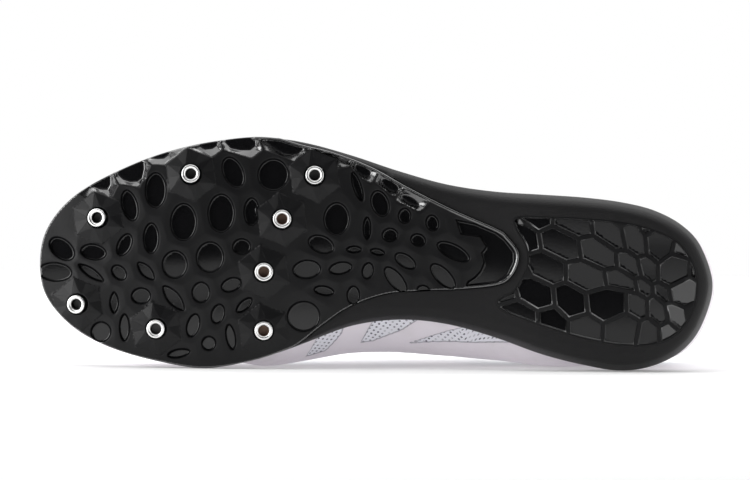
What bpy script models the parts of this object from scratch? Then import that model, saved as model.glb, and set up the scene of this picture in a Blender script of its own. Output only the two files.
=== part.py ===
"""Running spike shoe for the left foot, lying on its medial side.

Sizes are millimetres in the shoe's own upright frame and become metres when a mesh is made.
In that frame x runs from toe (-) to heel (+), y from the lateral (-) to the medial (+) side, and z
up from the tread crests under the ball. An empty then lays the whole shoe on its medial side.
"""
import functools
import math

import bmesh
import bpy
import numpy as np
from mathutils import Matrix, Vector
from mathutils.geometry import delaunay_2d_cdt


def table(columns, rows):
    """Named columns of a short table."""
    return dict(zip(columns.split(), np.array(rows, float).T))


# Driving sizes
MM = 0.001
GAP = 0.3
WELD = 0.0004
HALF_LENGTH = 142.7
TOE_TIP = (-HALF_LENGTH, 3.6)
HEEL_TIP = (HALF_LENGTH, 12.7)

# How the shoe lies: sole edge at ball and heel, and the collar, meet the floor
LEAN = math.radians(4.469)
YAW = math.radians(-0.522)
LIFT = 48.71
SHIFT = (-0.83, -49.07)

# Sole outline in plan
SOLE = table("along lateral medial", [
    (-141.0, -8.5, 14.8), (-134.5, -19.3, 24.8), (-124.0, -28.4, 33.5), (-109.0, -36.3, 40.5),
    (-92.0, -43.0, 45.0), (-72.0, -47.9, 47.8), (-50.0, -50.4, 44.3), (-30.0, -47.8, 37.0),
    (-10.0, -42.4, 29.7), (10.0, -35.8, 27.1), (30.0, -30.3, 28.9), (50.0, -27.3, 34.4),
    (70.0, -26.0, 41.6), (88.0, -24.8, 46.2), (104.0, -22.8, 48.6), (118.0, -19.3, 46.3),
    (130.0, -12.8, 39.9), (138.0, -3.5, 29.4),
])
SOLE_POINTS = 76

# Bottom profile: toe spring, arch, rear bevel and the crown across the tread
SPRING_START = -60.0
SPRING_CURVE = 0.0024
ARCH_SPAN = (-15.0, 80.0)
ARCH_RISE = 4.0
BEVEL_START = 112.0
BEVEL_CURVE = 0.0035
CROWN = table("along curve", [(-143.0, 0.0013), (-20.0, 0.0012), (60.0, 0.0006), (143.0, 0.0006)])

# Midsole: height of its top along the foot, and how far its bottom edge is drawn in
MIDSOLE_TOP = table("along height", [
    (-143.0, 23.5), (-110.0, 14.5), (-75.0, 10.0), (-40.0, 10.0), (0.0, 12.5), (45.0, 16.5),
    (90.0, 19.5), (143.0, 21.5),
])
MIDSOLE_FLARE = table("along inset", [
    (-143.0, 0.8), (-45.0, 0.8), (-15.0, 2.6), (30.0, 4.5), (90.0, 5.0), (143.0, 5.0),
])
MIDSOLE_SET_BACK = 1.0
SIDE_RINGS = table("rise flare_share toe_out", [
    (0.10, 0.42, 0.0), (0.42, 0.80, -0.1), (0.82, 1.0, -0.3), (1.0, 0.9, -0.5),
])
FOREFOOT_END = (-45.0, 0.0)
SPOT_PITCH = 15.0
CROSSING_HALVINGS = 30

# Spike plate
PLATE_INSET = 0.3
PLATE_FRONT_END = -38.0
PLATE_REAR = [
    (-33.0, 37.4), (-21.0, 28.2), (-10.0, 21.2), (5.0, 16.2), (20.0, 15.0), (38.0, 14.2), (51.6, 12.6),
    (57.2, 9.2), (60.2, 3.0), (60.0, -2.0), (56.0, -7.3), (51.6, -10.9), (33.0, -19.1), (14.0, -28.5),
    (-2.5, -37.5), (-18.7, -43.6), (-31.0, -46.6),
]
PLATE_POINTS = 104
PLATE_THICK = 4.0
PLATE_SIDE_DRAFT = 0.4
CELL_DEPTH = 2.4
CELL_DRAFT = 0.5
CELL_POINTS = 11
CELLS = table("along across half_along half_across turn power", [
    (-93.2, -27.5, 4.75, 7.8, 0, 2), (-104.2, -21.1, 3.6, 7.0, -15, 2), (-81.4, -14.0, 5.8, 8.2, 0, 2),
    (-65.5, -17.7, 5.9, 8.4, 0, 2), (-60.4, -35.0, 4.5, 7.2, -25, 2), (-95.1, -7.2, 3.6, 6.8, 0, 2),
    (-106.4, -4.5, 3.2, 5.3, 25, 2), (-119.6, -1.5, 5.8, 3.6, 10, 2), (-85.1, 4.0, 5.6, 6.2, 0, 2),
    (-70.2, 0.9, 6.1, 6.8, 0, 2), (-120.6, 7.3, 6.8, 2.2, 34, 1.7), (-108.7, 7.3, 4.0, 3.0, 45, 2),
    (-97.3, 6.7, 5.3, 2.6, 47, 1.7), (-110.8, 20.0, 2.2, 4.9, 0, 1.7), (-99.4, 17.2, 4.4, 3.7, 0, 2),
    (-85.6, 18.2, 7.0, 3.0, 50, 1.7), (-74.0, 15.8, 4.1, 4.7, 0, 2), (-61.2, 12.6, 4.7, 3.2, -20, 2),
    (-106.4, 30.5, 2.4, 6.0, 0, 2), (-116.4, 32.3, 4.5, 4.5, 0, 2), (-77.3, 29.7, 3.0, 5.3, 15, 2),
    (-66.8, 24.9, 3.1, 4.5, 15, 2), (-55.7, 21.2, 4.5, 2.3, -42, 2), (-70.7, 37.3, 3.3, 3.3, 0, 2),
    (-61.4, 34.6, 2.3, 5.7, -10, 2), (-83.4, 41.5, 5.1, 2.1, -10, 2), (-133.0, -3.0, 6.5, 4.2, 40, 2),
    (-136.0, 6.8, 7.5, 4.2, 5, 2), (-103.7, -35.3, 6.0, 3.0, -21, 2), (-69.7, -46.3, 4.4, 3.0, -8, 2),
    (-58.2, -46.6, 4.6, 3.0, 0, 2), (-38.2, -45.9, 8.6, 3.3, 12, 2), (-43.5, -34.0, 6.8, 7.0, 0, 2),
    (-52.6, -18.3, 3.6, 6.2, 0, 2), (-56.8, -3.6, 4.2, 3.6, 0, 2), (-16.7, -15.3, 5.7, 7.2, 0, 2),
    (-23.2, -4.5, 6.0, 3.9, 22, 2), (-7.9, -28.9, 2.1, 6.8, -18, 2), (1.7, -21.8, 4.0, 6.0, -20, 2),
    (-3.8, -11.3, 2.0, 5.1, 0, 2), (5.9, -8.5, 3.7, 3.2, 0, 2), (12.1, -16.6, 3.0, 3.6, 0, 2),
    (17.8, -6.4, 3.6, 2.9, 20, 2), (23.8, -13.6, 3.0, 3.8, -15, 2), (-9.3, -2.3, 3.5, 1.8, 0, 2),
    (0.6, -1.3, 3.4, 1.7, 12, 2), (12.4, 2.5, 5.3, 3.0, 33, 2), (32.7, -1.5, 7.9, 3.4, 27, 2),
    (-29.3, 6.1, 6.2, 4.2, -4, 2), (-15.0, 5.6, 5.2, 2.9, -10, 2), (-3.5, 6.7, 2.7, 3.8, 10, 2),
    (-22.0, 15.1, 4.6, 2.3, 10, 2), (8.3, 10.4, 7.0, 3.2, 50, 2), (28.3, 8.9, 7.2, 3.4, 45, 2),
    (-9.6, 17.0, 3.0, 4.2, 0, 2), (-30.6, 25.9, 7.2, 6.6, 0, 2), (50.2, 1.3, 7.6, 9.2, -8, 2.6),
    (-5.3, -34.6, 3.6, 2.0, 25, 2), (6.2, -28.6, 3.6, 2.0, 28, 2),
])

# Spike sockets and the six-pointed bosses around them
SOCKETS = table("along across", [
    (-78.2, -34.2), (-25.9, -33.6), (-117.7, -15.9), (-39.7, -15.1), (-47.4, 7.2), (-126.4, 20.6),
    (-92.9, 31.1), (-47.5, 31.9),
])
BOSS_ARMS = 6
BOSS_TURN = 22.0
BOSS_TIP = 11.3
BOSS_NOTCH = 7.8
BOSS_HEIGHT = 2.2
WELL_RADIUS = 4.6
WELL_DEPTH = 5.2
SOCKET_RADIUS = 3.9
SOCKET_BORE = 2.25
SOCKET_LENGTH = 5.3
SOCKET_FLOOR = 0.7
SOCKET_SIDES = 12

# Heel plate
HEEL_OUTLINE = [
    (59.5, -16.1), (74.8, -16.1), (90.5, -15.3), (106.0, -13.6), (118.0, -10.4), (127.5, -5.6),
    (133.0, 1.3), (135.6, 8.5), (135.8, 16.5), (134.0, 23.5), (128.5, 32.0), (119.5, 37.2), (107.5, 38.4),
    (91.0, 36.0), (72.0, 30.6), (53.5, 23.4), (51.8, 18.6), (58.5, 14.6), (63.6, 5.0), (63.4, -3.4),
    (59.4, -10.8),
]
HEEL_POINTS = 72
HEEL_PROUD = 0.3
HEEL_THICK = 2.4
TILE_RIB = 0.65
TILE_DEPTH = 0.9
TILE_DRAFT = 0.3
TILE_LEAST = 3.0
HEEL_TILES = [
    (67.5, -13.8), (62.7, -7.6), (77.3, -3.9), (82.8, -12.0), (96.0, -11.3), (93.0, -1.7), (71.1, 4.8),
    (88.3, 9.3), (66.7, 17.3), (82.0, 20.2), (97.5, 20.9), (103.2, 10.6), (60.7, 24.6), (75.1, 27.5),
    (88.3, 31.9), (103.2, 32.7), (54.6, 16.6), (108.8, -6.8), (106.2, 3.8), (120.5, -4.7), (115.4, 5.9),
    (126.0, 6.4), (113.8, 14.4), (120.9, 16.1), (130.4, 15.7), (109.9, 20.9), (118.3, 23.5),
    (126.7, 25.4), (115.0, 33.4), (123.4, 32.3), (128.7, -2.5), (134.0, 7.6), (114.7, -11.5),
    (103.2, -14.1),
]

# Insole
INSOLE_INSET = 4.6
INSOLE_THICK = 3.0
INSOLE_POINTS = 64

# Upper: sections along the last
WALL = 1.8
STEP = 0.6
FEATHER_INSET = 1.2
TOE_ROUND = 26.0
HEEL_ROUND = 20.0
LAST = table("along ridge ridge_height medial_out lateral_out widest power", [
    (-143.0, 3.6, 38.0, 0.7, 0.7, 8.0, 2.2), (-128.0, 3.2, 43.0, 0.6, 0.6, 8.0, 2.2),
    (-110.0, 2.4, 46.0, 0.2, 0.4, 9.0, 2.2), (-92.0, 1.8, 50.0, -0.6, 0.2, 10.0, 2.15),
    (-72.0, 2.0, 55.0, -2.2, 0.0, 12.0, 2.1), (-60.0, 2.4, 58.5, -1.2, 0.0, 13.0, 2.05),
    (-50.0, 2.8, 62.0, 2.6, 0.2, 14.5, 2.0), (-40.0, 3.2, 65.2, 5.6, 0.3, 17.0, 2.0),
    (-28.0, 3.8, 69.0, 8.2, 0.4, 19.5, 2.0), (-12.0, 4.8, 75.0, 11.4, 0.4, 22.0, 1.95),
    (8.0, 6.0, 82.0, 13.9, 0.3, 23.0, 1.9), (24.0, 7.2, 88.0, 14.2, 0.2, 22.0, 1.9),
    (38.0, 8.4, 95.0, 12.6, 0.0, 19.0, 1.9), (52.0, 9.4, 106.0, 9.6, -0.4, 15.0, 1.95),
    (66.0, 10.4, 118.0, 6.2, -0.6, 11.0, 2.3), (80.0, 11.4, 128.0, 2.8, -0.6, 9.0, 2.4),
    (96.0, 12.2, 136.0, -1.0, -0.2, 8.0, 2.2), (112.0, 12.6, 140.0, -1.6, 0.2, 8.0, 2.1),
    (128.0, 12.7, 140.0, 0.4, 0.6, 10.0, 2.0), (143.0, 12.7, 140.0, 0.8, 0.8, 12.0, 2.0),
])
THROAT = table("along half_gap", [
    (-44.0, 0.0), (-42.5, 3.4), (-39.0, 6.4), (-20.0, 9.0), (10.0, 12.0), (36.0, 14.5),
])
COLLAR_START = 36.0
COLLAR = table("along height", [
    (36.0, 89.0), (46.0, 80.5), (60.0, 70.5), (76.0, 65.0), (92.0, 66.0), (110.0, 72.0), (128.0, 80.0),
    (143.0, 85.0),
])
HEEL_CURVE = table("up back", [(0.0, 0.0), (18.0, 2.0), (40.0, 0.6), (66.0, -4.0), (130.0, -12.0)])
HEEL_CURVE_SPAN = (95.0, 142.0)
TOE_STEPS = (0.0, 0.6, 2.4, 5.4, 9.5, 15.0, 22.0)
STATIONS = (
    -110.0, -100.0, -90.0, -88.6, -78.0, -66.0, -55.0, -44.0, -42.5, -39.0, -31.0, -24.0, -13.6, -12.3,
    2.1, 3.4, 12.0, 20.4, 21.7, 42.5, 43.8, 54.0, 62.4, 63.7, 76.0, 90.0, 104.0, 114.0,
)
HEIGHTS = (0.0, 0.12, 0.26, 0.40, 0.43, 0.63, 0.84, 0.87, 1.0)
SLANT = 12.0
SLANT_SPAN = (-39.0, 63.7)
SECTION_POINTS = 40

# Overlays, as steps in the upper's wall
GUARD_END = -90.0
SADDLES = ((-12.3, 2.1), (21.7, 42.5))
COUNTER_START = 63.7
OVERLAY_TOP = 0.40
EYESTAY_EDGE = 0.87

# Tongue and lace
TONGUE = table("along half_width", [(-40.0, 13.0), (-20.0, 19.0), (36.0, 24.0), (51.0, 24.0)])
TONGUE_ROWS = 12
TONGUE_COLUMNS = 8
TONGUE_UNDER = 3.1
TONGUE_THICK = 3.6
EYELETS = 6
EYELET_SPAN = (-35.0, 29.0)
EYELET_MARGIN = 5.5
EYELET_RADIUS = 2.1
EYELET_SIDES = 8
LACE_WIDTH = 5.0
LACE_THICK = 1.2
LACE_OVER = 2.9
LACE_STEPS = 4
LACE_RISE = 0.5
MEDIAL = 1.0
LATERAL = -1.0


# Curves and plans

def smooth(data, column, along):
    """Value of a table's column at each place along the shoe, on a smooth curve."""
    xs = data["along"]
    ys = data[column]
    slopes = np.gradient(ys, xs)
    at = np.clip(np.asarray(along, float), xs[0], xs[-1])
    k = np.clip(np.searchsorted(xs, at) - 1, 0, len(xs) - 2)
    width = xs[k + 1] - xs[k]
    t = (at - xs[k]) / width
    start = ys[k] * (1 + 2 * t) * (1 - t) ** 2 + slopes[k] * width * t * (1 - t) ** 2
    end = ys[k + 1] * t * t * (3 - 2 * t) - slopes[k + 1] * width * t * t * (1 - t)
    return start + end


def ease(value, low, high):
    """Smooth step from 0 at low to 1 at high."""
    t = np.clip((np.asarray(value, float) - low) / (high - low), 0.0, 1.0)
    return t * t * (3 - 2 * t)


def even_loop(points, count):
    """Count points, evenly spaced, around a closed polyline."""
    ring = np.vstack([points, points[:1]])
    run = np.concatenate([[0.0], np.cumsum(np.linalg.norm(np.diff(ring, axis=0), axis=1))])
    at = np.linspace(0.0, run[-1], count, endpoint=False)
    return np.column_stack([np.interp(at, run, ring[:, k]) for k in range(2)])


def round_loop(points, count, fine=12):
    """Smooth closed loop through plan points."""
    p = np.array(points, float)
    before = np.roll(p, 1, axis=0)
    after = np.roll(p, -1, axis=0)
    beyond = np.roll(p, -2, axis=0)
    rows = []
    for t in np.linspace(0.0, 1.0, fine, endpoint=False):
        rows.append(0.5 * (2 * p + (after - before) * t + (2 * before - 5 * p + 4 * after - beyond) * t ** 2
                           + (3 * p - before - 3 * after + beyond) * t ** 3))
    dense = np.stack(rows, axis=1).reshape(-1, 2)
    return even_loop(dense, count)


def loop_sign(loop):
    """1 for a loop that turns from x towards y, -1 for the other way round."""
    after = np.roll(loop, -1, axis=0)
    return np.sign(np.sum(loop[:, 0] * after[:, 1] - after[:, 0] * loop[:, 1]))


def inward(loop):
    """Unit normals that point into a loop."""
    along = np.roll(loop, -1, axis=0) - np.roll(loop, 1, axis=0)
    normal = np.column_stack([-along[:, 1], along[:, 0]]) * loop_sign(loop)
    return normal / np.linalg.norm(normal, axis=1, keepdims=True)


def inset_loop(loop, distance):
    """Loop moved inwards by a distance, or by one distance a point."""
    return loop + inward(loop) * np.reshape(distance, (-1, 1))


def depth_inside(points, loop):
    """Distance of each plan point from a loop's edge, positive inside."""
    start = loop
    edge = np.roll(loop, -1, axis=0) - loop
    away = points[:, None, :] - start[None]
    share = np.clip((away * edge).sum(2) / (edge * edge).sum(1), 0.0, 1.0)
    gap = np.linalg.norm(away - share[..., None] * edge, axis=2).min(axis=1)
    straddles = (start[:, 1] > points[:, 1:2]) != (start[:, 1] + edge[:, 1] > points[:, 1:2])
    rise = np.where(edge[:, 1] == 0.0, 1.0, edge[:, 1])
    crossing = start[:, 0] + (points[:, 1:2] - start[:, 1]) * edge[:, 0] / rise
    inside = (straddles & (points[:, 0:1] < crossing)).sum(1) % 2 == 1
    return np.where(inside, gap, -gap)


def oval(along, across, half_along, half_across, turn, power, count):
    """Superellipse loop in plan."""
    angle = np.linspace(0.0, 2 * math.pi, count, endpoint=False)
    c = np.cos(angle)
    s = np.sin(angle)
    x = half_along * np.sign(c) * np.abs(c) ** (2 / power)
    y = half_across * np.sign(s) * np.abs(s) ** (2 / power)
    a = math.radians(turn)
    return np.column_stack([along + x * math.cos(a) - y * math.sin(a),
                            across + x * math.sin(a) + y * math.cos(a)])


SOLE_RING = [TOE_TIP]
SOLE_RING += list(zip(SOLE["along"], SOLE["medial"]))
SOLE_RING += [HEEL_TIP]
SOLE_RING += list(zip(SOLE["along"], SOLE["lateral"]))[::-1]
SOLE_FINE = round_loop(SOLE_RING, 1200)
FEATHER_FINE = inset_loop(SOLE_FINE, FEATHER_INSET)


def loop_edge(loop, side, along):
    """Across position of a loop's medial or lateral edge at places along the shoe."""
    toe = int(np.argmin(loop[:, 0]))
    ring = np.roll(loop, -toe, axis=0)
    heel = int(np.argmax(ring[:, 0]))
    if side == MEDIAL:
        part = ring[:heel + 1]
    else:
        part = np.vstack([ring[heel:], ring[:1]])[::-1]
    return np.interp(along, part[:, 0], part[:, 1])


def bottom(points):
    """Height of the tread's crest surface over plan points."""
    x = points[:, 0]
    middle = 0.5 * (loop_edge(SOLE_FINE, MEDIAL, x) + loop_edge(SOLE_FINE, LATERAL, x))
    spring = SPRING_CURVE * np.maximum(SPRING_START - x, 0.0) ** 2
    share = np.clip((x - ARCH_SPAN[0]) / (ARCH_SPAN[1] - ARCH_SPAN[0]), 0.0, 1.0)
    arch = ARCH_RISE * np.sin(math.pi * share) ** 2
    bevel = BEVEL_CURVE * np.maximum(x - BEVEL_START, 0.0) ** 2
    return spring + arch + bevel + smooth(CROWN, "curve", x) * (points[:, 1] - middle) ** 2


def bottom_normal(x, y):
    """Unit normal of the crest surface, pointing up into the shoe."""
    reach = 0.5
    spots = np.array([(x + reach, y), (x - reach, y), (x, y + reach), (x, y - reach)])
    z = bottom(spots)
    normal = Vector((-(z[0] - z[1]) / (2 * reach), -(z[2] - z[3]) / (2 * reach), 1.0))
    return normal.normalized()


# Mesh helpers

def left_handed(loop):
    """Loop in the order that keeps its inside on the left."""
    return loop if loop_sign(loop) > 0.0 else loop[::-1]


def triangulate(outline, loops, spots, links, wells):
    """Plan triangles inside an outline, outside the wells, with loops and links kept as edges."""
    points = [left_handed(outline)]
    edges = []
    faces = [list(range(len(outline)))]
    count = len(outline)
    for number, loop in enumerate([left_handed(w) for w in wells] + list(loops)):
        ids = list(range(count, count + len(loop)))
        if number < len(wells):
            faces.append(ids)
        else:
            edges += list(zip(ids, ids[1:] + ids[:1]))
        points.append(loop)
        count += len(loop)
    for start, end in links:
        points.append(np.array([start, end]))
        edges.append((count, count + 1))
        count += 2
    points.append(np.reshape(spots, (-1, 2)))
    plan = [Vector(p) for p in np.vstack(points)]
    found = delaunay_2d_cdt(plan, edges, faces, 0, 1e-5)
    kept = [face for face, source in zip(found[2], found[5]) if source == [0]]
    return np.array([tuple(v) for v in found[0]]), kept


def rim_loops(faces):
    """Ordered vertex loops around the open edges of a set of faces."""
    follow = {}
    for face in faces:
        for start, end in zip(face, face[1:] + face[:1]):
            follow[(start, end)] = True
    chain = {}
    for start, end in follow:
        if (end, start) not in follow:
            chain[start] = end
    loops = []
    while chain:
        start, at = chain.popitem()
        loop = [start]
        while at != start:
            loop.append(at)
            at = chain.pop(at)
        loops.append(loop)
    return loops


def strip(low, high):
    """Quads between two closed rings of points."""
    count = len(low)
    faces = []
    for k in range(count):
        n = (k + 1) % count
        faces.append((k, n, count + n, count + k))
    return np.vstack([low, high]), faces


def make_object(name, patches, look):
    """One closed object from patches of points and faces that meet at their edges."""
    mesh = bmesh.new()
    for points, faces in patches:
        verts = [mesh.verts.new(Vector(p) * MM) for p in points]
        for face in faces:
            mesh.faces.new([verts[k] for k in face])
    bmesh.ops.remove_doubles(mesh, verts=mesh.verts, dist=WELD * MM)
    bmesh.ops.dissolve_degenerate(mesh, edges=mesh.edges, dist=WELD * MM)
    loose = [v for v in mesh.verts if not v.link_faces]
    bmesh.ops.delete(mesh, geom=loose, context="VERTS")
    bmesh.ops.recalc_face_normals(mesh, faces=mesh.faces)
    if mesh.calc_volume(signed=True) < 0.0:
        bmesh.ops.reverse_faces(mesh, faces=mesh.faces)
    data = bpy.data.meshes.new(name)
    mesh.to_mesh(data)
    mesh.free()
    data.materials.append(look)
    data.shade_smooth()
    data.set_sharp_from_angle(angle=math.radians(35.0))
    shape = bpy.data.objects.new(name, data)
    bpy.context.collection.objects.link(shape)
    return shape


def raised(plan, height):
    """Plan points with their heights."""
    return np.column_stack([plan, height(plan)])


def grid_spots(outline, margin, pitch):
    """Grid of plan points that keep a margin to an outline."""
    low = outline.min(axis=0)
    high = outline.max(axis=0)
    xs = np.arange(low[0] + pitch / 2, high[0], pitch)
    ys = np.arange(low[1] + pitch / 2, high[1], pitch)
    spots = np.array([(x, y) for x in xs for y in ys])
    return spots[depth_inside(spots, outline) > margin]


def slab(name, look, outline, under, over, loops=(), spots=(), links=(), wells=(), rings=None):
    """Solid between two height functions, with relief below, wells, and rings up its side."""
    plan, faces = triangulate(outline, loops, np.array(spots), links, [w[0] for w in wells])
    patches = [(raised(plan, under), faces)]
    rims = sorted(rim_loops(faces), key=lambda loop: -np.ptp(plan[loop][:, 0]))
    side = [raised(plan[rims[0]], under)]
    if rings:
        side += rings(plan[rims[0]])
    else:
        side.append(raised(plan[rims[0]], over))
    for low, high in zip(side, side[1:]):
        patches.append(strip(low, high))
    for rim in rims[1:]:
        mouth = raised(plan[rim], under)
        centre = plan[rim].mean(axis=0)
        nearest = min(wells, key=lambda w: np.linalg.norm(w[0].mean(axis=0) - centre))
        floor = mouth + np.array(nearest[1])
        patches.append(strip(mouth, floor))
        patches.append((floor, [tuple(range(len(floor)))]))
    top = side[-1][:, :2]
    lid, lid_faces = triangulate(top, [], grid_spots(top, SPOT_PITCH / 3, SPOT_PITCH), [], [])
    patches.append((raised(lid, over), lid_faces))
    return make_object(name, patches, look)


# Spike plate

def plate_outline(extra=0.0):
    """Plate outline in plan, grown outwards by an extra margin."""
    edge = inset_loop(SOLE_FINE, PLATE_INSET)[::5]
    split = int(np.argmax(edge[:, 0]))
    medial = [p for p in edge[:split] if p[0] < PLATE_FRONT_END]
    lateral = [p for p in edge[split:] if p[0] < PLATE_FRONT_END]
    loop = round_loop(medial + PLATE_REAR + lateral, PLATE_POINTS, 4)
    return inset_loop(loop, -extra)


@functools.lru_cache(maxsize=None)
def cell_loops():
    """Rim loop of every recess in the plate."""
    rows = zip(*CELLS.values())
    return [oval(*row, CELL_POINTS) for row in rows]


def boss_star(x, y):
    """Star outline of a boss, its well, and the ridge and valley lines between them."""
    count = 2 * BOSS_ARMS
    angle = np.radians(BOSS_TURN) + np.arange(count) * math.pi / BOSS_ARMS
    reach = np.where(np.arange(count) % 2 == 0, BOSS_TIP, BOSS_NOTCH)
    ways = np.column_stack([np.cos(angle), np.sin(angle)])
    star = np.array([x, y]) + ways * reach[:, None]
    well = np.array([x, y]) + ways * WELL_RADIUS
    return star, well, list(zip(well, star))


def boss_height(points):
    """Height of the bosses over the crest surface, and the distance outside the nearest one."""
    height = np.zeros(len(points))
    outside = np.full(len(points), 1e3)
    for x, y in zip(*SOCKETS.values()):
        star, well, lines = boss_star(x, y)
        away = points - np.array([x, y])
        radius = np.linalg.norm(away, axis=1)
        turn = np.degrees(np.arctan2(away[:, 1], away[:, 0])) - BOSS_TURN
        arm = np.abs((turn + 30.0) % 60.0 - 30.0) / 30.0
        reach = 1.0 / ((1 - arm) / BOSS_TIP + arm / BOSS_NOTCH)
        rise = np.clip((reach - radius) / (reach - WELL_RADIUS), 0.0, 1.0)
        height = np.maximum(height, BOSS_HEIGHT * rise)
        outside = np.minimum(outside, np.maximum(-depth_inside(points, star), 0.0))
    return height, outside


def plate_under(points):
    """Height of the plate's tread side."""
    boss, outside = boss_height(points)
    depth = np.zeros(len(points))
    for loop in cell_loops():
        near = np.abs(points - loop.mean(axis=0)).max(axis=1) < BOSS_TIP
        if near.any():
            inside = depth_inside(points[near], loop)
            depth[near] = np.maximum(depth[near], np.clip(inside / (0.93 * CELL_DRAFT), 0.0, 1.0))
    clear = np.clip(outside / CELL_DRAFT, 0.0, 1.0)
    return bottom(points) - boss + CELL_DEPTH * depth * clear


def plate_over(points):
    """Height of the plate's inner side."""
    return bottom(points) + PLATE_THICK


def plate_rings(rim):
    """Ring at the top of the plate's side, drawn in by its draft."""
    return [raised(inset_loop(rim, PLATE_SIDE_DRAFT), plate_over)]


def make_plate(look):
    """Spike plate with recesses, bosses and socket wells."""
    outline = plate_outline()
    loops = []
    for loop in cell_loops():
        loops += [loop, inset_loop(loop, CELL_DRAFT)]
    wells = []
    links = []
    for x, y in zip(*SOCKETS.values()):
        star, well, lines = boss_star(x, y)
        loops.append(star)
        links += lines
        wells.append((well, bottom_normal(x, y) * WELL_DEPTH))
    spots = grid_spots(outline, 4.0, SPOT_PITCH)
    clear = np.ones(len(spots), bool)
    for loop in loops:
        clear &= depth_inside(spots, loop) < -2.0
    return slab("spike_plate", look, outline, plate_under, plate_over, loops, spots[clear], links, wells,
                plate_rings)


def make_socket(number, x, y, look):
    """Metal spike socket: a blind bush, square to the tread."""
    profile = [
        (SOCKET_RADIUS, SOCKET_LENGTH), (SOCKET_RADIUS, 0.0), (SOCKET_BORE, 0.0),
        (SOCKET_BORE, SOCKET_LENGTH - SOCKET_FLOOR),
    ]
    angle = np.linspace(0.0, 2 * math.pi, SOCKET_SIDES, endpoint=False)
    rings = []
    for radius, height in profile:
        rings.append(np.column_stack([radius * np.cos(angle), radius * np.sin(angle),
                                      np.full(SOCKET_SIDES, height)]))
    patches = [strip(low, high) for low, high in zip(rings, rings[1:])]
    patches.append((rings[0], [tuple(range(SOCKET_SIDES))]))
    patches.append((rings[-1], [tuple(range(SOCKET_SIDES))]))
    axis = bottom_normal(x, y)
    lead = BOSS_HEIGHT + SOCKET_LENGTH + GAP - WELL_DEPTH
    seat = Vector((x, y, float(bottom(np.array([(x, y)]))[0]))) - axis * lead
    turn = np.array(axis.to_track_quat("Z", "Y").to_matrix())
    placed = [(points @ turn.T + np.array(seat), faces) for points, faces in patches]
    return make_object(f"spike_socket_{number}", placed, look)


# Heel plate

def clip_half(loop, middle, way):
    """Part of a loop on the near side of a line through a point, square to a direction."""
    kept = []
    for start, end in zip(loop, np.roll(loop, -1, axis=0)):
        a = np.dot(start - middle, way)
        b = np.dot(end - middle, way)
        if a <= 0.0:
            kept.append(start)
        if (a < 0.0 < b) or (b < 0.0 < a):
            kept.append(start + (end - start) * a / (a - b))
    return np.array(kept).reshape(-1, 2)


def shrink(loop, distance):
    """Convex loop with each side moved inwards."""
    sign = loop_sign(loop)
    result = loop
    for start, end in zip(loop, np.roll(loop, -1, axis=0)):
        way = np.array([end[1] - start[1], start[0] - end[0]]) * sign
        length = np.linalg.norm(way)
        if length > 1e-6 and len(result) > 2:
            way /= length
            result = clip_half(result, start - way * distance, way)
    return result


def heel_outline(extra=0.0):
    """Heel plate outline in plan, grown outwards by an extra margin."""
    return inset_loop(round_loop(HEEL_OUTLINE, HEEL_POINTS), -extra)


@functools.lru_cache(maxsize=None)
def heel_tiles():
    """Recessed tile loops: the cells around the seeds, less half a rib on each side."""
    seeds = np.array(HEEL_TILES)
    edge = inset_loop(heel_outline(), TILE_RIB)
    tiles = []
    for seed in seeds:
        loop = edge
        for other in seeds:
            way = other - seed
            if way.any() and len(loop) > 2:
                loop = clip_half(loop, 0.5 * (seed + other), way)
        if len(loop) > 2:
            loop = shrink(loop, TILE_RIB)
        if len(loop) > 2 and np.ptp(loop, axis=0).min() > TILE_LEAST:
            tiles.append(loop)
    return tiles


def heel_face(points):
    """Height of the heel plate's rib crests."""
    return bottom(points) + MIDSOLE_SET_BACK - HEEL_PROUD


def heel_under(points):
    """Height of the heel plate's tread side."""
    depth = np.zeros(len(points))
    for loop in heel_tiles():
        inside = depth_inside(points, loop)
        depth = np.maximum(depth, np.clip(inside / (0.93 * TILE_DRAFT), 0.0, 1.0))
    return heel_face(points) + TILE_DEPTH * depth


def heel_over(points):
    """Height of the heel plate's inner side."""
    return heel_face(points) + HEEL_THICK


def make_heel_plate(look):
    """Heel plate with its recessed tiles."""
    loops = []
    for tile in heel_tiles():
        floor = shrink(tile, TILE_DRAFT)
        loops.append(tile)
        if len(floor) > 2:
            loops.append(floor)
    return slab("heel_plate", look, heel_outline(), heel_under, heel_over, loops)


# Midsole and insole

def midsole_top(points):
    """Height of the midsole's top."""
    return smooth(MIDSOLE_TOP, "height", points[:, 0])


def midsole_under(points):
    """Height of the midsole's bottom, with the pockets for both plates."""
    face = bottom(points) + MIDSOLE_SET_BACK
    draft = 0.93 * CELL_DRAFT
    plate = np.clip(depth_inside(points, plate_outline(GAP + CELL_DRAFT)) / draft, 0.0, 1.0)
    heel = np.clip(depth_inside(points, heel_outline(GAP + CELL_DRAFT)) / draft, 0.0, 1.0)
    front = points[:, 0] < PLATE_FRONT_END
    plate = np.where(front, 1.0, plate)
    deep = bottom(points) + PLATE_THICK + GAP
    heel_deep = heel_over(points) + GAP
    return face + (deep - face) * plate + (heel_deep - face) * heel


def midsole_rings(rim):
    """Rings from the bottom edge up the flared side to the top edge."""
    out = -inward(rim)
    flare = smooth(MIDSOLE_FLARE, "inset", rim[:, 0])
    rear = ease(rim[:, 0], *FOREFOOT_END)
    low = midsole_under(rim)
    rings = []
    for rise, share, toe_out in zip(*SIDE_RINGS.values()):
        plan = rim + out * (toe_out + (flare * share - toe_out) * rear)[:, None]
        rings.append(np.column_stack([plan, low + (midsole_top(plan) - low) * rise]))
    return rings


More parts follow.
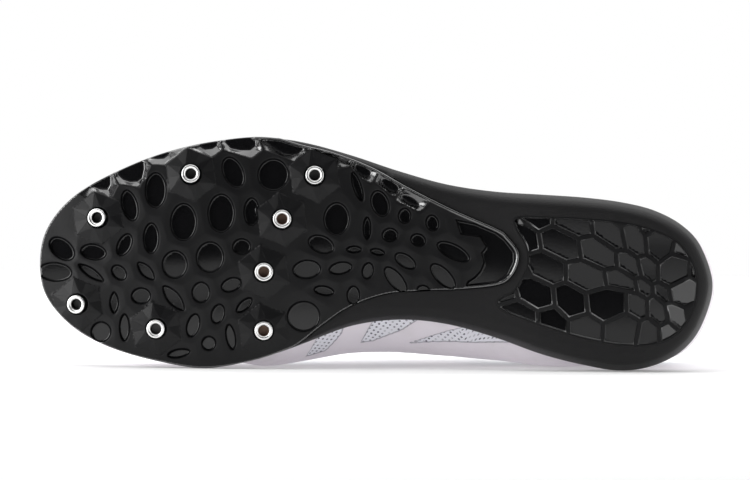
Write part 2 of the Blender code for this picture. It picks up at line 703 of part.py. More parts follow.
def edge_crossings(outline, loop):
    """Places behind the forefoot where an outline crosses a loop, each with the outline point before."""
    depth = depth_inside(outline, loop)
    found = []
    for k in range(len(outline)):
        n = (k + 1) % len(outline)
        if depth[k] * depth[n] < 0.0 and outline[k, 0] > PLATE_FRONT_END:
            low = outline[k]
            high = outline[n]
            for _ in range(CROSSING_HALVINGS):
                middle = 0.5 * (low + high)
                same = depth_inside(middle[None], loop)[0] * depth[k] > 0.0
                low, high = (middle, high) if same else (low, middle)
            found.append((k, 0.5 * (low + high)))
    return found


def open_chain(outline, loop, ends):
    """Part of a loop inside an outline, from one crossing to the other."""
    inner = loop[(depth_inside(loop, outline) > GAP) & (loop[:, 0] > PLATE_FRONT_END)]
    first = min(ends, key=lambda p: np.linalg.norm(p - inner[0]))
    last = min(ends, key=lambda p: np.linalg.norm(p - inner[-1]))
    return np.vstack([first, inner, last])


def with_points(outline, added):
    """Outline with extra points put in after the points they follow."""
    rows = []
    for k, point in enumerate(outline):
        rows.append(point)
        extra = [p for n, p in added if n == k]
        rows += sorted(extra, key=lambda p: np.linalg.norm(p - point))
    return np.array(rows)


def make_midsole(look):
    """Foam midsole with flared sides and pockets for both plates."""
    sole = even_loop(SOLE_FINE, SOLE_POINTS)
    edge = inset_loop(sole, smooth(MIDSOLE_FLARE, "inset", sole[:, 0]))
    pocket = plate_outline(GAP + CELL_DRAFT)
    added = []
    links = []
    for loop in (pocket, inset_loop(pocket, CELL_DRAFT)):
        crossings = edge_crossings(edge, loop)
        added += crossings
        chain = open_chain(edge, loop, [p for k, p in crossings])
        links += list(zip(chain, chain[1:]))
    panel = heel_outline(GAP + CELL_DRAFT)
    loops = [panel, inset_loop(panel, CELL_DRAFT)]
    spots = grid_spots(edge, 4.0, SPOT_PITCH)
    clear = np.ones(len(spots), bool)
    for loop in loops + [pocket]:
        clear &= np.abs(depth_inside(spots, loop)) > 2.0
    outline = with_points(edge, added)
    return slab("midsole", look, outline, midsole_under, midsole_top, loops, spots[clear], links,
                rings=midsole_rings)


def insole_under(points):
    """Height of the insole's bottom."""
    return midsole_top(points) + GAP


def insole_over(points):
    """Height of the insole's top."""
    return midsole_top(points) + GAP + INSOLE_THICK


def make_insole(look):
    """Footbed inside the upper."""
    outline = inset_loop(even_loop(SOLE_FINE, INSOLE_POINTS), INSOLE_INSET)
    spots = grid_spots(outline, 4.0, SPOT_PITCH)
    return slab("insole", look, outline, insole_under, insole_over, spots=spots)


# Upper

TOE_END = float(FEATHER_FINE[:, 0].min())
HEEL_END = float(FEATHER_FINE[:, 0].max())


def end_round(along, end, radius):
    """0 at an end of the last, rising to 1 on a quarter circle of the given radius."""
    share = np.clip(1.0 - np.abs(along - end) / radius, 0.0, 1.0)
    return math.sqrt(1.0 - share * share)


@functools.lru_cache(maxsize=None)
def section(side, along):
    """Section of the last at one place: feather edge, widest point and ridge, each (across, height)."""
    toe = end_round(along, TOE_END, TOE_ROUND)
    heel = end_round(along, HEEL_END, HEEL_ROUND)
    column = "medial_out" if side == MEDIAL else "lateral_out"
    low = float(midsole_top(np.array([(along, 0.0)]))[0]) + GAP
    edge = float(loop_edge(FEATHER_FINE, side, along))
    wide = edge + side * float(smooth(LAST, column, along)) * toe * heel
    ridge = float(smooth(LAST, "ridge", along))
    top = low + (float(smooth(LAST, "ridge_height", along)) - low) * toe
    widest = low + float(smooth(LAST, "widest", along)) * toe
    return (edge, low), (wide, widest), (ridge, top)


def crown_points(side, along, angles):
    """Points on the last's upper arc, from its widest place at 0 to the ridge at 90 degrees."""
    foot, wide, ridge = section(side, along)
    power = 2.0 / float(smooth(LAST, "power", along))
    across = ridge[0] + (wide[0] - ridge[0]) * np.maximum(np.cos(angles), 0.0) ** power
    height = wide[1] + (ridge[1] - wide[1]) * np.sin(angles) ** power
    return np.column_stack([along + heel_back(along, height - foot[1]), across, height])


def crown_point(side, along, angle):
    """One point on the last's upper arc."""
    return crown_points(side, along, np.array([angle]))[0]


def heel_back(along, up):
    """How far the heel curve moves points back."""
    share = float(ease(along, *HEEL_CURVE_SPAN))
    return share * np.interp(up, HEEL_CURVE["up"], HEEL_CURVE["back"])


def open_angle(side, along):
    """Angle on the upper arc where the throat or collar ends the wall."""
    foot, wide, ridge = section(side, along)
    power = float(smooth(LAST, "power", along)) / 2.0
    if along <= THROAT["along"][0]:
        return math.pi / 2
    if along <= COLLAR_START:
        share = float(smooth(THROAT, "half_gap", along)) / abs(wide[0] - ridge[0])
        return math.acos(min(share, 1.0) ** power)
    share = (float(smooth(COLLAR, "height", along)) - wide[1]) / (ridge[1] - wide[1])
    return math.asin(min(max(share, 0.0), 1.0) ** power)


@functools.lru_cache(maxsize=None)
def wall_section(side, along):
    """Points up the wall from feather edge to its open edge, with the share of the way to each."""
    foot, wide, ridge = section(side, along)
    t = np.linspace(0.0, 1.0, SECTION_POINTS // 3, endpoint=False)
    across = wide[0] - (wide[0] - foot[0]) * (1.0 - t) ** 2
    height = foot[1] + (wide[1] - foot[1]) * t
    lower = np.column_stack([along + heel_back(along, height - foot[1]), across, height])
    upper = crown_points(side, along, np.linspace(0.0, open_angle(side, along), SECTION_POINTS))
    points = np.vstack([lower, upper])
    run = np.concatenate([[0.0], np.cumsum(np.linalg.norm(np.diff(points, axis=0), axis=1))])
    return run / max(run[-1], 1e-9), points


def wall_point(side, along, share):
    """Point on the last's surface at a share of the way up the wall."""
    run, points = wall_section(side, min(max(along, TOE_END), HEEL_END))
    return np.array([np.interp(share, run, points[:, k]) for k in range(3)])


def slanted(along, share):
    """Place along the shoe of a station at a share of the wall's height: saddles lean forwards."""
    rise = ease(along, SLANT_SPAN[0] - 8.0, SLANT_SPAN[0] + 30.0)
    fall = 1.0 - ease(along, SLANT_SPAN[1] - 30.0, SLANT_SPAN[1] + 8.0)
    return along - SLANT * float(share * rise * fall)


def wall_normal(side, along, share):
    """Outward normal of the last's surface."""
    if along - TOE_END < 0.01:
        return np.array([-0.94, 0.0, 0.34])
    reach = 0.4
    if HEEL_END - along < 0.01:
        side = MEDIAL
    ahead = wall_point(side, along + reach, share) - wall_point(side, along - reach, share)
    up = wall_point(side, along, min(share + 0.02, 1.0)) - wall_point(side, along, max(share - 0.02, 0.0))
    normal = np.cross(up, ahead) * side
    if HEEL_END - along < 0.01:
        normal = np.array([1.0, 0.0, normal[2] / max(abs(normal[0]), 1e-6) * np.sign(normal[0])])
    return normal / np.linalg.norm(normal)


def overlay(along, share):
    """Height of the overlay step on the wall."""
    inside = along <= GUARD_END and share <= OVERLAY_TOP
    inside |= along >= COUNTER_START and share <= OVERLAY_TOP
    inside |= THROAT["along"][0] <= along <= COLLAR_START and share >= EYESTAY_EDGE
    inside |= any(low <= along <= high for low, high in SADDLES)
    return STEP if inside else 0.0


def upper_stations():
    """Places along the shoe where the upper has a section."""
    toe = [TOE_END + d for d in TOE_STEPS]
    heel = [HEEL_END - d for d in reversed(TOE_STEPS)]
    return toe + list(STATIONS) + heel


def upper_grid(side):
    """Outer and inner points of one side of the upper."""
    outer = []
    inner = []
    for station in upper_stations():
        closed = station <= THROAT["along"][0]
        for share in HEIGHTS:
            along = slanted(station, share)
            point = wall_point(side, along, share)
            normal = wall_normal(side, along, share)
            if share == 0.0:
                normal = normal * np.array([1.0, 1.0, 0.0]) / np.linalg.norm(normal[:2])
            if closed and share == 1.0 and station > TOE_END:
                normal = normal + wall_normal(-side, along, share)
                normal = normal / np.linalg.norm(normal)
            outer.append(point + normal * overlay(station, share))
            inner.append(point - normal * WALL)
    shape = (-1, len(HEIGHTS), 3)
    return np.array(outer).reshape(shape), np.array(inner).reshape(shape)


def grid_patch(grid):
    """Points and quads of a grid."""
    rows, columns = grid.shape[:2]
    faces = []
    for i in range(rows - 1):
        for j in range(columns - 1):
            k = i * columns + j
            faces.append((k, k + 1, k + columns + 1, k + columns))
    return grid.reshape(-1, 3), faces


def eyelet_places():
    """Share along the throat of each row of eyelets."""
    return np.linspace(*EYELET_SPAN, EYELETS)


def eyelet_point(side, along, lift):
    """Centre of an eyelet on the eyestay, lifted off the surface."""
    run, points = wall_section(side, along)
    length = np.linalg.norm(np.diff(points, axis=0), axis=1).sum()
    share = 1.0 - EYELET_MARGIN / length
    normal = wall_normal(side, along, share)
    return wall_point(side, along, share) + normal * lift, normal


def eyelet_cutter():
    """Guide object with a peg through every eyelet."""
    mesh = bmesh.new()
    for side in (MEDIAL, LATERAL):
        for along in eyelet_places():
            centre, normal = eyelet_point(side, along, 0.0)
            turn = Vector(normal).to_track_quat("Z", "Y").to_matrix().to_4x4()
            place = Matrix.Translation(Vector(centre) * MM) @ turn
            bmesh.ops.create_cone(mesh, cap_ends=True, segments=EYELET_SIDES, radius1=EYELET_RADIUS * MM,
                                  radius2=EYELET_RADIUS * MM, depth=4 * WALL * MM, matrix=place)
    data = bpy.data.meshes.new("eyelet_pegs")
    mesh.to_mesh(data)
    mesh.free()
    pegs = bpy.data.objects.new("eyelet_pegs", data)
    pegs.hide_render = True
    pegs.display_type = "WIRE"
    bpy.context.collection.objects.link(pegs)
    return pegs


def make_upper(look, pegs):
    """Hollow upper: both walls, rims at feather edge, throat and collar, and punched eyelets."""
    patches = []
    opening = len(TOE_STEPS) + STATIONS.index(THROAT["along"][0])
    for side in (MEDIAL, LATERAL):
        outer, inner = upper_grid(side)
        patches += [grid_patch(outer), grid_patch(inner)]
        patches.append(grid_patch(np.stack([outer[:, 0], inner[:, 0]], axis=1)))
        patches.append(grid_patch(np.stack([outer[opening:, -1], inner[opening:, -1]], axis=1)))
    shape = make_object("upper", patches, look)
    cut = shape.modifiers.new("eyelets", "BOOLEAN")
    cut.operation = "DIFFERENCE"
    cut.solver = "EXACT"
    cut.object = pegs
    return shape


# Tongue and lace

def arch_point(along, across, depth):
    """Point a depth under the last's arc, at a distance from its ridge towards the medial side."""
    side = MEDIAL if across >= 0.0 else LATERAL
    foot, wide, ridge = section(side, along)
    power = float(smooth(LAST, "power", along)) / 2.0
    angle = math.acos(min(abs(across) / abs(wide[0] - ridge[0]), 1.0) ** power)
    point = crown_point(side, along, angle)
    reach = 0.5
    ahead = crown_point(side, along + reach, angle) - crown_point(side, along - reach, angle)
    up = crown_point(side, along, min(angle + 0.02, math.pi / 2)) - crown_point(side, along, angle - 0.02)
    normal = np.cross(up, ahead) * side
    return point - normal / np.linalg.norm(normal) * depth


def make_tongue(look):
    """Padded tongue under the throat."""
    span = (TONGUE["along"][0], TONGUE["along"][-1])
    layers = []
    for depth in (TONGUE_UNDER, TONGUE_UNDER + TONGUE_THICK):
        grid = []
        for along in np.linspace(*span, TONGUE_ROWS + 1):
            half = float(smooth(TONGUE, "half_width", along))
            grid.append([arch_point(along, across, depth)
                         for across in np.linspace(-half, half, TONGUE_COLUMNS + 1)])
        layers.append(np.array(grid))
    top, under = layers
    patches = [grid_patch(top), grid_patch(under)]
    for edge in (np.s_[0, :], np.s_[-1, :], np.s_[:, 0], np.s_[:, -1]):
        patches.append(grid_patch(np.stack([top[edge], under[edge]], axis=1)))
    return make_object("tongue", patches, look)


def lace_route(stops, lift):
    """Points of a lace over the throat through eyelets, given as (side, row) stops."""
    places = eyelet_places()
    route = []
    for (side, row), (next_side, next_row) in zip(stops, stops[1:]):
        for t in np.linspace(0.0, 1.0, LACE_STEPS, endpoint=False):
            along = places[row] + (places[next_row] - places[row]) * t
            half = float(smooth(THROAT, "half_gap", along)) + EYELET_MARGIN * 0.8
            across = half * (side + (next_side - side) * t)
            route.append(arch_point(along, across, -LACE_OVER - lift))
    side, row = stops[-1]
    half = float(smooth(THROAT, "half_gap", places[row])) + EYELET_MARGIN * 0.8
    route.append(arch_point(places[row], side * half, -LACE_OVER - lift))
    return np.array(route)


def ribbon(route):
    """Closed flat ribbon along a route over the throat."""
    rings = []
    for k, point in enumerate(route):
        ahead = route[min(k + 1, len(route) - 1)] - route[max(k - 1, 0)]
        ahead = ahead / np.linalg.norm(ahead)
        centre = np.array([point[0], float(smooth(LAST, "ridge", point[0])), point[2] - 60.0])
        out = point - centre
        across = np.cross(ahead, out)
        across = across / np.linalg.norm(across)
        out = np.cross(across, ahead)
        a = across * LACE_WIDTH / 2
        b = out * LACE_THICK / 2
        rings.append(np.array([point - a - b, point + a - b, point + a + b, point - a + b]))
    patches = [strip(low, high) for low, high in zip(rings, rings[1:])]
    patches += [(rings[0], [(0, 1, 2, 3)]), (rings[-1], [(0, 1, 2, 3)])]
    return patches


def make_lace(look):
    """Lace crossings over the throat, joined where they cross."""
    first = [(MEDIAL, 0), (LATERAL, 0)]
    second = [(MEDIAL, 0)]
    for row in range(1, EYELETS):
        way = MEDIAL if row % 2 else LATERAL
        first.append((way, row))
        second.append((-way, row))
    crossing = make_object("lace_crossing", ribbon(lace_route(second, LACE_RISE)), look)
    crossing.hide_render = True
    crossing.display_type = "WIRE"
    lace = make_object("lace", ribbon(lace_route(first, 0.0)), look)
    join = lace.modifiers.new("crossings", "BOOLEAN")
    join.operation = "UNION"
    join.solver = "EXACT"
    join.object = crossing
    return [lace, crossing]


# Looks and assembly

def material(name, colour, roughness, metallic=0.0):
    """Plain material for one kind of piece."""
    look = bpy.data.materials.new(name)
    look.use_nodes = True
    shader = look.node_tree.nodes["Principled BSDF"]
    shader.inputs["Base Color"].default_value = (*colour, 1.0)
    shader.inputs["Roughness"].default_value = roughness
    shader.inputs["Metallic"].default_value = metallic
    return look


def lying_frame():
    """Empty that lays the upright shoe on its medial side, lowest point on the floor."""
    frame = bpy.data.objects.new("lying_frame", None)
    bpy.context.collection.objects.link(frame)
    turn = Matrix.Rotation(-math.pi / 2 - LEAN, 4, "X") @ Matrix.Rotation(YAW, 4, "Z")
    frame.matrix_world = Matrix.Translation(Vector((SHIFT[0], SHIFT[1], LIFT)) * MM) @ turn
    return frame


def main():
    for old in list(bpy.data.objects):
        bpy.data.objects.remove(old, do_unlink=True)
    gloss = material("gloss_black", (0.02, 0.02, 0.022), 0.2)
    matte = material("matte_black", (0.03, 0.03, 0.033), 0.7)
    metal = material("socket_metal", (0.72, 0.72, 0.7), 0.3, 1.0)
    white = material("white_cloth", (0.82, 0.8, 0.83), 0.6)
    grey = material("grey_cloth", (0.35, 0.34, 0.36), 0.8)
    pieces = [make_plate(gloss), make_heel_plate(gloss), make_midsole(matte), make_insole(grey)]
    for number, (x, y) in enumerate(zip(*SOCKETS.values()), start=1):
        pieces.append(make_socket(number, x, y, metal))
    pegs = eyelet_cutter()
    pieces += [pegs, make_upper(white, pegs), make_tongue(white)]
    pieces += make_lace(white)
    frame = lying_frame()
    for piece in pieces:
        piece.parent = frame


main()
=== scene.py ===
"""Looks for a running spike shoe that lies on its medial side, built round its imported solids.

Sizes are millimetres in the shoe's own upright frame: x from toe (-) to heel (+), y from the lateral
(-) to the medial (+) side, z up from the tread crests. One matrix then lays every piece on its side.
"""
import functools
import math

import bmesh
import bpy
import numpy as np
from mathutils import Matrix, Vector
from mathutils.geometry import delaunay_2d_cdt


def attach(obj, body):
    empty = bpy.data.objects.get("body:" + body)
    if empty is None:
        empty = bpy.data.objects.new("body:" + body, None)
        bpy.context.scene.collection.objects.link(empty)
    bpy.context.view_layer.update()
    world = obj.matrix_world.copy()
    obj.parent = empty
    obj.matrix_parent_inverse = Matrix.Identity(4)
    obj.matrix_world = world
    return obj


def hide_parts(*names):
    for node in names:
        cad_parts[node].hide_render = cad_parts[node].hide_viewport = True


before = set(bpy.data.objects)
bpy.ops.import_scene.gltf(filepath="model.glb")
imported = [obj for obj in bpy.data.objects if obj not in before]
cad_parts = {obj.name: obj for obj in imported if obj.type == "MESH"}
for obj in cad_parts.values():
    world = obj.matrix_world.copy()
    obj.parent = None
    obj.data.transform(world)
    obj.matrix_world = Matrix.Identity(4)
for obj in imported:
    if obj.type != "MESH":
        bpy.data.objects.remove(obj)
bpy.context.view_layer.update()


def table(columns, rows):
    """Named columns of a short table."""
    return dict(zip(columns.split(), np.array(rows, float).T))


# Driving sizes
MM = 0.001
GAP = 0.3
WELD = 0.0004
TINY = 1e-6
FAINT = 1e-9
PLAN_SLACK = 1e-4
POINT_BLOCK = 4000
CRISP_TURN = math.radians(40.0)
HALF_LENGTH = 142.7
TOE_TIP = (-HALF_LENGTH, 3.6)
HEEL_TIP = (HALF_LENGTH, 12.7)
MEDIAL = 1.0
LATERAL = -1.0

# How the shoe lies
LEAN = math.radians(4.469)
YAW = math.radians(-0.522)
LIFT = 48.71
SHIFT = (-0.83, -49.07)
TURN = Matrix.Rotation(-math.pi / 2 - LEAN, 4, "X") @ Matrix.Rotation(YAW, 4, "Z")
LYING = Matrix.Translation(Vector((SHIFT[0], SHIFT[1], LIFT))) @ TURN

# The photograph's frame, in pixels, and its scale at the tread
IMAGE_WIDTH = 750
IMAGE_CENTRE = (375.0, 240.0)
SHOE_CENTRE = (376.0, 255.0)
PIXELS_PER_MM = 2.366
PLAN_CENTRE = (377.0, 255.0)
PLAN_SCALE = 2.354
CAMERA_DISTANCE = 6000.0
CAMERA_DROP = math.radians(1.5)
SENSOR_WIDTH = 36.0

# Studio, in metres and watts
STAGE_NEAR = -6.6
STAGE_FAR = 0.7
STAGE_HALF_WIDTH = 6.5
BACKDROP_HEIGHT = 2.0
BACKDROP_GLOW = 1.0
FLOOR_GLOW = 0.2
CARD_HEIGHT = 0.62
CARD_GLOW = 0.95
SOFTBOX_PLACE = (0.0, 0.12, 0.95)
SOFTBOX_SIZE = (2.0, 1.05)
SOFTBOX_POWER = 12.5
SIDE_PLACES = ((-1.25, -0.62, 0.42), (1.25, -0.62, 0.42))
SIDE_SIZE = (0.8, 1.0)
SIDE_POWERS = (16.0, 4.5)
SIDE_TARGET = (0.0, 0.0, 0.05)
WORLD_COLOUR = (0.045, 0.045, 0.048, 1.0)
FLOOR_COLOUR = (0.9, 0.9, 0.9)
FLOOR_ROUGHNESS = 0.9

# Sole outline in plan
SOLE = table("along lateral medial", [
    (-141.0, -8.5, 14.8), (-134.5, -19.3, 24.8), (-124.0, -28.4, 33.5), (-109.0, -36.3, 40.5),
    (-92.0, -43.0, 45.0), (-72.0, -47.9, 47.8), (-50.0, -50.4, 44.3), (-30.0, -47.8, 37.0),
    (-10.0, -42.4, 29.7), (10.0, -35.8, 27.1), (30.0, -30.3, 28.9), (50.0, -27.3, 34.4),
    (70.0, -26.0, 41.6), (88.0, -24.8, 46.2), (104.0, -22.8, 48.6), (118.0, -19.3, 46.3),
    (130.0, -12.8, 39.9), (138.0, -3.5, 29.4),
])
SOLE_POINTS = 420
SOLE_FINE_POINTS = 1200

# Bottom profile: toe spring, arch, rear bevel and the crown across the tread
SPRING_START = -60.0
SPRING_CURVE = 0.0024
ARCH_SPAN = (-15.0, 80.0)
ARCH_RISE = 4.0
BEVEL_START = 112.0
BEVEL_CURVE = 0.0035
CROWN = table("along curve", [(-143.0, 0.0013), (-20.0, 0.0012), (60.0, 0.0006), (143.0, 0.0006)])

# Midsole
MIDSOLE_TOP = table("along height", [
    (-143.0, 23.5), (-110.0, 14.5), (-75.0, 10.0), (-40.0, 10.0), (0.0, 12.5), (45.0, 16.5),
    (90.0, 19.5), (143.0, 21.5),
])
MIDSOLE_FLARE = table("along inset", [
    (-143.0, 0.8), (-45.0, 0.8), (-15.0, 2.6), (30.0, 4.5), (90.0, 5.0), (143.0, 5.0),
])
MIDSOLE_SET_BACK = 1.0
# Rings of the side: the first column is the rise, from 0 at the bottom edge to 1 at the top
SIDE_RINGS = table("along flare_share toe_out", [
    (0.0, 0.0, 0.0), (0.10, 0.42, 0.0), (0.25, 0.65, -0.03), (0.42, 0.80, -0.1), (0.62, 0.93, -0.2),
    (0.82, 1.0, -0.3), (0.93, 0.98, -0.4), (1.0, 0.9, -0.5),
])
SIDE_RING_COUNT = 14
FOREFOOT_END = (-58.0, -34.0)
POCKET_WALL = (0.02, 0.3)
POCKET_MARGIN = 0.4
MIDSOLE_MARGIN = 1.0
MIDSOLE_PITCH = 2.5
COARSE_PITCH = 4.0
FLOOR_SHARE = 0.97
WALL_SHARE = 0.04

# Spike plate
PLATE_INSET = 0.3
PLATE_FRONT_END = -38.0
PLATE_REAR = [
    (-33.0, 37.4), (-21.0, 28.2), (-10.0, 21.2), (5.0, 16.2), (20.0, 15.0), (38.0, 14.2), (51.6, 12.6),
    (57.2, 9.2), (60.2, 3.0), (60.0, -2.0), (56.0, -7.3), (51.6, -10.9), (33.0, -19.1), (14.0, -28.5),
    (-2.5, -37.5), (-18.7, -43.6), (-31.0, -46.6),
]
PLATE_POINTS = 560
PLATE_EDGE_STRIDE = 5
PLATE_CURVE_STEPS = 8
PLATE_MARGINS = (0.8, 1.3)
LINK_MARGIN = 0.3
EDGE_LINK_MARGIN = 0.1
PLATE_THICK = 4.0
PLATE_SIDE_DRAFT = 0.4
PLATE_PITCH = 0.75
PLATE_FINE_PITCH = 0.42
PLATE_FINE_WIDTH = 11.0
PLATE_RIM = (0.7, 1.25)
PLATE_RIM_START = -52.0
PLATE_RIM_REAR = 36.6
PLATE_BEAD = 0.5
PLATE_EDGE_ROUND = 0.45
PLATE_EDGE_LINES = (0.15, 0.32, 0.55, 0.75, 0.95, 1.25)
CELL_DEPTH = 2.0
CELL_LIP = -0.1
CELL_FOOT = 0.75
CELL_RINGS = (-0.35, -0.1, 0.1, 0.32, 0.54, 0.75, 1.05)
CELL_CLEAR = 1.0
FLOOR_SHIFT = (0.4, 0.35)
FLOOR_RING = 0.3
FLOOR_CLEAR = 0.9
CELL_STEP = 0.7
CELL_LEAST_POINTS = 24
CELL_REACH = 20.0
WEB_CAP = 0.42
WEB_DROP = 0.22
WEB_REACH = 4.5
EDGE_DROP = 2.4
FACET_LEVEL = -0.1
# The last three recesses lie along the lateral edge
EDGE_CELLS = 3
CELLS = table("along across half_along half_across turn power", [
    (-93.2, -27.5, 4.75, 7.8, 0, 2), (-104.2, -21.1, 3.6, 7.0, -15, 2), (-81.4, -14.0, 5.8, 8.2, 0, 2),
    (-65.5, -17.7, 5.9, 8.4, 0, 2), (-60.4, -35.0, 4.5, 7.2, -25, 2), (-95.1, -7.2, 3.6, 6.8, 0, 2),
    (-106.4, -4.5, 3.2, 5.3, 25, 2), (-119.6, -1.5, 5.8, 3.6, 10, 2), (-85.1, 4.0, 5.6, 6.2, 0, 2),
    (-70.2, 0.9, 6.1, 6.8, 0, 2), (-120.6, 7.3, 6.8, 2.2, 34, 1.7), (-108.7, 7.3, 4.0, 3.0, 45, 2),
    (-97.3, 6.7, 5.3, 2.6, 47, 1.7), (-110.8, 20.0, 2.2, 4.9, 0, 1.7), (-99.4, 17.2, 4.4, 3.7, 0, 2),
    (-85.6, 18.2, 7.0, 3.0, 50, 1.7), (-74.0, 15.8, 4.1, 4.7, 0, 2), (-61.2, 12.6, 4.7, 3.2, -20, 2),
    (-106.4, 30.5, 2.4, 6.0, 0, 2), (-116.4, 32.3, 4.5, 4.5, 0, 2), (-77.3, 29.7, 3.0, 5.3, 15, 2),
    (-66.8, 24.9, 3.1, 4.5, 15, 2), (-55.7, 21.2, 4.5, 2.3, -42, 2), (-70.7, 37.3, 3.3, 3.3, 0, 2),
    (-61.4, 34.6, 2.3, 5.7, -10, 2), (-83.4, 41.5, 5.1, 2.1, -10, 2), (-133.0, -3.0, 6.5, 4.2, 40, 2),
    (-136.0, 6.8, 7.5, 4.2, 5, 2), (-43.5, -34.0, 6.8, 7.0, 0, 2),
    (-52.6, -18.3, 3.6, 6.2, 0, 2), (-56.8, -3.6, 4.2, 3.6, 0, 2), (-16.7, -15.3, 5.7, 7.2, 0, 2),
    (-23.2, -4.5, 6.0, 3.9, 22, 2), (-7.9, -28.9, 2.1, 6.8, -18, 2), (1.7, -21.8, 4.0, 6.0, -20, 2),
    (-3.8, -11.3, 2.0, 5.1, 0, 2), (5.9, -8.5, 3.7, 3.2, 0, 2), (12.1, -16.6, 3.0, 3.6, 0, 2),
    (17.8, -6.4, 3.6, 2.9, 20, 2), (23.8, -13.6, 3.0, 3.8, -15, 2), (-9.3, -2.3, 3.5, 1.8, 0, 2),
    (0.6, -1.3, 3.4, 1.7, 12, 2), (12.4, 2.5, 5.3, 3.0, 33, 2), (32.7, -1.5, 7.9, 3.4, 27, 2),
    (-29.3, 6.1, 6.2, 4.2, -4, 2), (-15.0, 5.6, 5.2, 2.9, -10, 2), (-3.5, 6.7, 2.7, 3.8, 10, 2),
    (-22.0, 15.1, 4.6, 2.3, 10, 2), (8.3, 10.4, 7.0, 3.2, 50, 2), (28.3, 8.9, 7.2, 3.4, 45, 2),
    (-9.6, 17.0, 3.0, 4.2, 0, 2), (-30.6, 25.9, 7.2, 6.6, 0, 2), (20.0, 14.6, 3.0, 2.2, 10, 2),
    (-5.6, -36.0, 3.8, 2.2, 32, 2), (6.0, -29.8, 4.2, 2.0, 33, 2), (14.5, -23.4, 4.2, 1.6, 28, 2),
])

# Black pockets along the lateral edge, in pixels of the photograph
EDGE_POCKETS = [
    [(91, 187.6), (100, 188.5), (110, 189.5), (113, 184), (113, 174), (110, 164), (92, 174)],
    [(120, 175), (125, 179.5), (132, 182), (140, 181.5), (144.5, 178), (146.5, 169), (146, 160),
     (143, 148), (116, 160)],
    [(151, 158.5), (160, 159), (166, 158.5), (170, 155), (174, 149.5), (180, 147), (178, 138), (148, 148)],
    [(201, 146), (207, 149.5), (214, 149), (219, 146), (220, 142), (217, 132), (195, 136)],
    [(226, 142), (232.5, 148.7), (242, 150.6), (251.7, 150.3), (257.5, 146), (256, 130), (224, 132)],
    [(265, 139.5), (273, 147), (284, 154), (293.8, 155.4), (300.2, 153.5), (305, 149.5), (302, 132),
     (263, 128)],
    [(308, 148.5), (318, 151.5), (333, 156.5), (350, 162), (353, 150), (333, 144), (318, 140), (307, 137)],
]
# Pocket at the plate's rear end, with a ragged front edge
REAR_POCKET = [
    (33.4, -15.4), (35.7, -8.6), (44.0, -7.5), (46.3, -3.6), (44.3, -1.2), (45.4, 3.0), (44.0, 6.4),
    (41.6, 9.0), (38.6, 10.9), (37.6, 13.4), (51.0, 11.9), (56.2, 8.6), (58.9, 3.0), (58.7, -1.6),
    (54.9, -6.6), (50.9, -9.8), (42.0, -13.6),
]
REAR_POCKET_STEP = 0.7

# Spike sockets and the six-sided bosses around them
SOCKETS = table("along across", [
    (-78.2, -34.2), (-25.9, -33.6), (-117.7, -15.9), (-39.7, -15.1), (-47.4, 7.2), (-126.4, 20.6),
    (-92.9, 31.1), (-47.5, 31.9),
])
RUSTY_SOCKETS = (4, 5, 8)
BOSS_ARMS = 6
BOSS_TURN = 22.0
BOSS_TIP = 11.2
BOSS_FLAT = BOSS_TIP * math.cos(math.pi / BOSS_ARMS)
BOSS_LAND = 4.9
BOSS_HEIGHT = 2.2
BOSS_TIP_HEIGHT = 0.85
BOSS_SIDE_HEIGHT = 0.5
BOSS_RIDGE = 1.5
BOSS_SKIRT = 1.2
BOSS_SHARP = math.radians(7.0)
BOSS_SLACK = 0.2
BOSS_SIDE_STEPS = 8
WELL_RADIUS = 4.6
WELL_DEPTH = 5.2
WELL_SIDES = 48
SOCKET_LENGTH = 5.3
SOCKET_SIDES = 48
SOCKET_RIM = [
    (0.0, 5.3), (3.9, 5.3), (3.9, 0.45), (3.8, 0.16), (3.55, 0.0), (2.95, 0.05), (2.55, 0.3), (2.3, 0.7),
]
SOCKET_THREADS = 4
SOCKET_THREAD = (2.05, 2.05, 2.3)
SOCKET_THREAD_PITCH = 0.8
SOCKET_THREAD_TURNS = (0.3, 0.5, 0.8)
SOCKET_FLOOR = 4.2
SOCKET_DIMPLE = 0.3

# Heel plate
HEEL_OUTLINE = [
    (59.5, -16.1), (74.8, -16.1), (90.5, -15.3), (106.0, -13.6), (118.0, -10.4), (127.5, -5.6),
    (133.0, 1.3), (135.6, 8.5), (135.8, 16.5), (134.0, 23.5), (128.5, 32.0), (119.5, 37.2), (107.5, 38.4),
    (91.0, 36.0), (72.0, 30.6), (53.5, 23.4), (51.8, 18.6), (58.5, 14.6), (63.6, 5.0), (63.4, -3.4),
    (59.4, -10.8),
]
HEEL_POINTS = 360
HEEL_PITCH = 1.0
HEEL_PROUD = 0.05
HEEL_ROUND_EDGE = 0.05
HEEL_ROUND_WIDTH = 0.6
HEEL_MARGIN = 1.3
HEEL_LINK_MARGIN = 0.2
HEEL_WALL = (0.02, 0.1)
HEEL_THICK = 2.4
TILE_RIB = 0.75
TILE_EDGE = 0.55
TILE_DEPTH = 0.9
TILE_LIP = -0.08
TILE_FOOT = 0.3
TILE_SHIFT = (0.34, -0.4)
TILE_RING = 0.12
TILE_LEAST = 1.5
TILE_RINGS = (-0.3, -0.08, 0.04, 0.16, 0.3, 0.55, 0.8)
TILE_CLEAR = 0.9
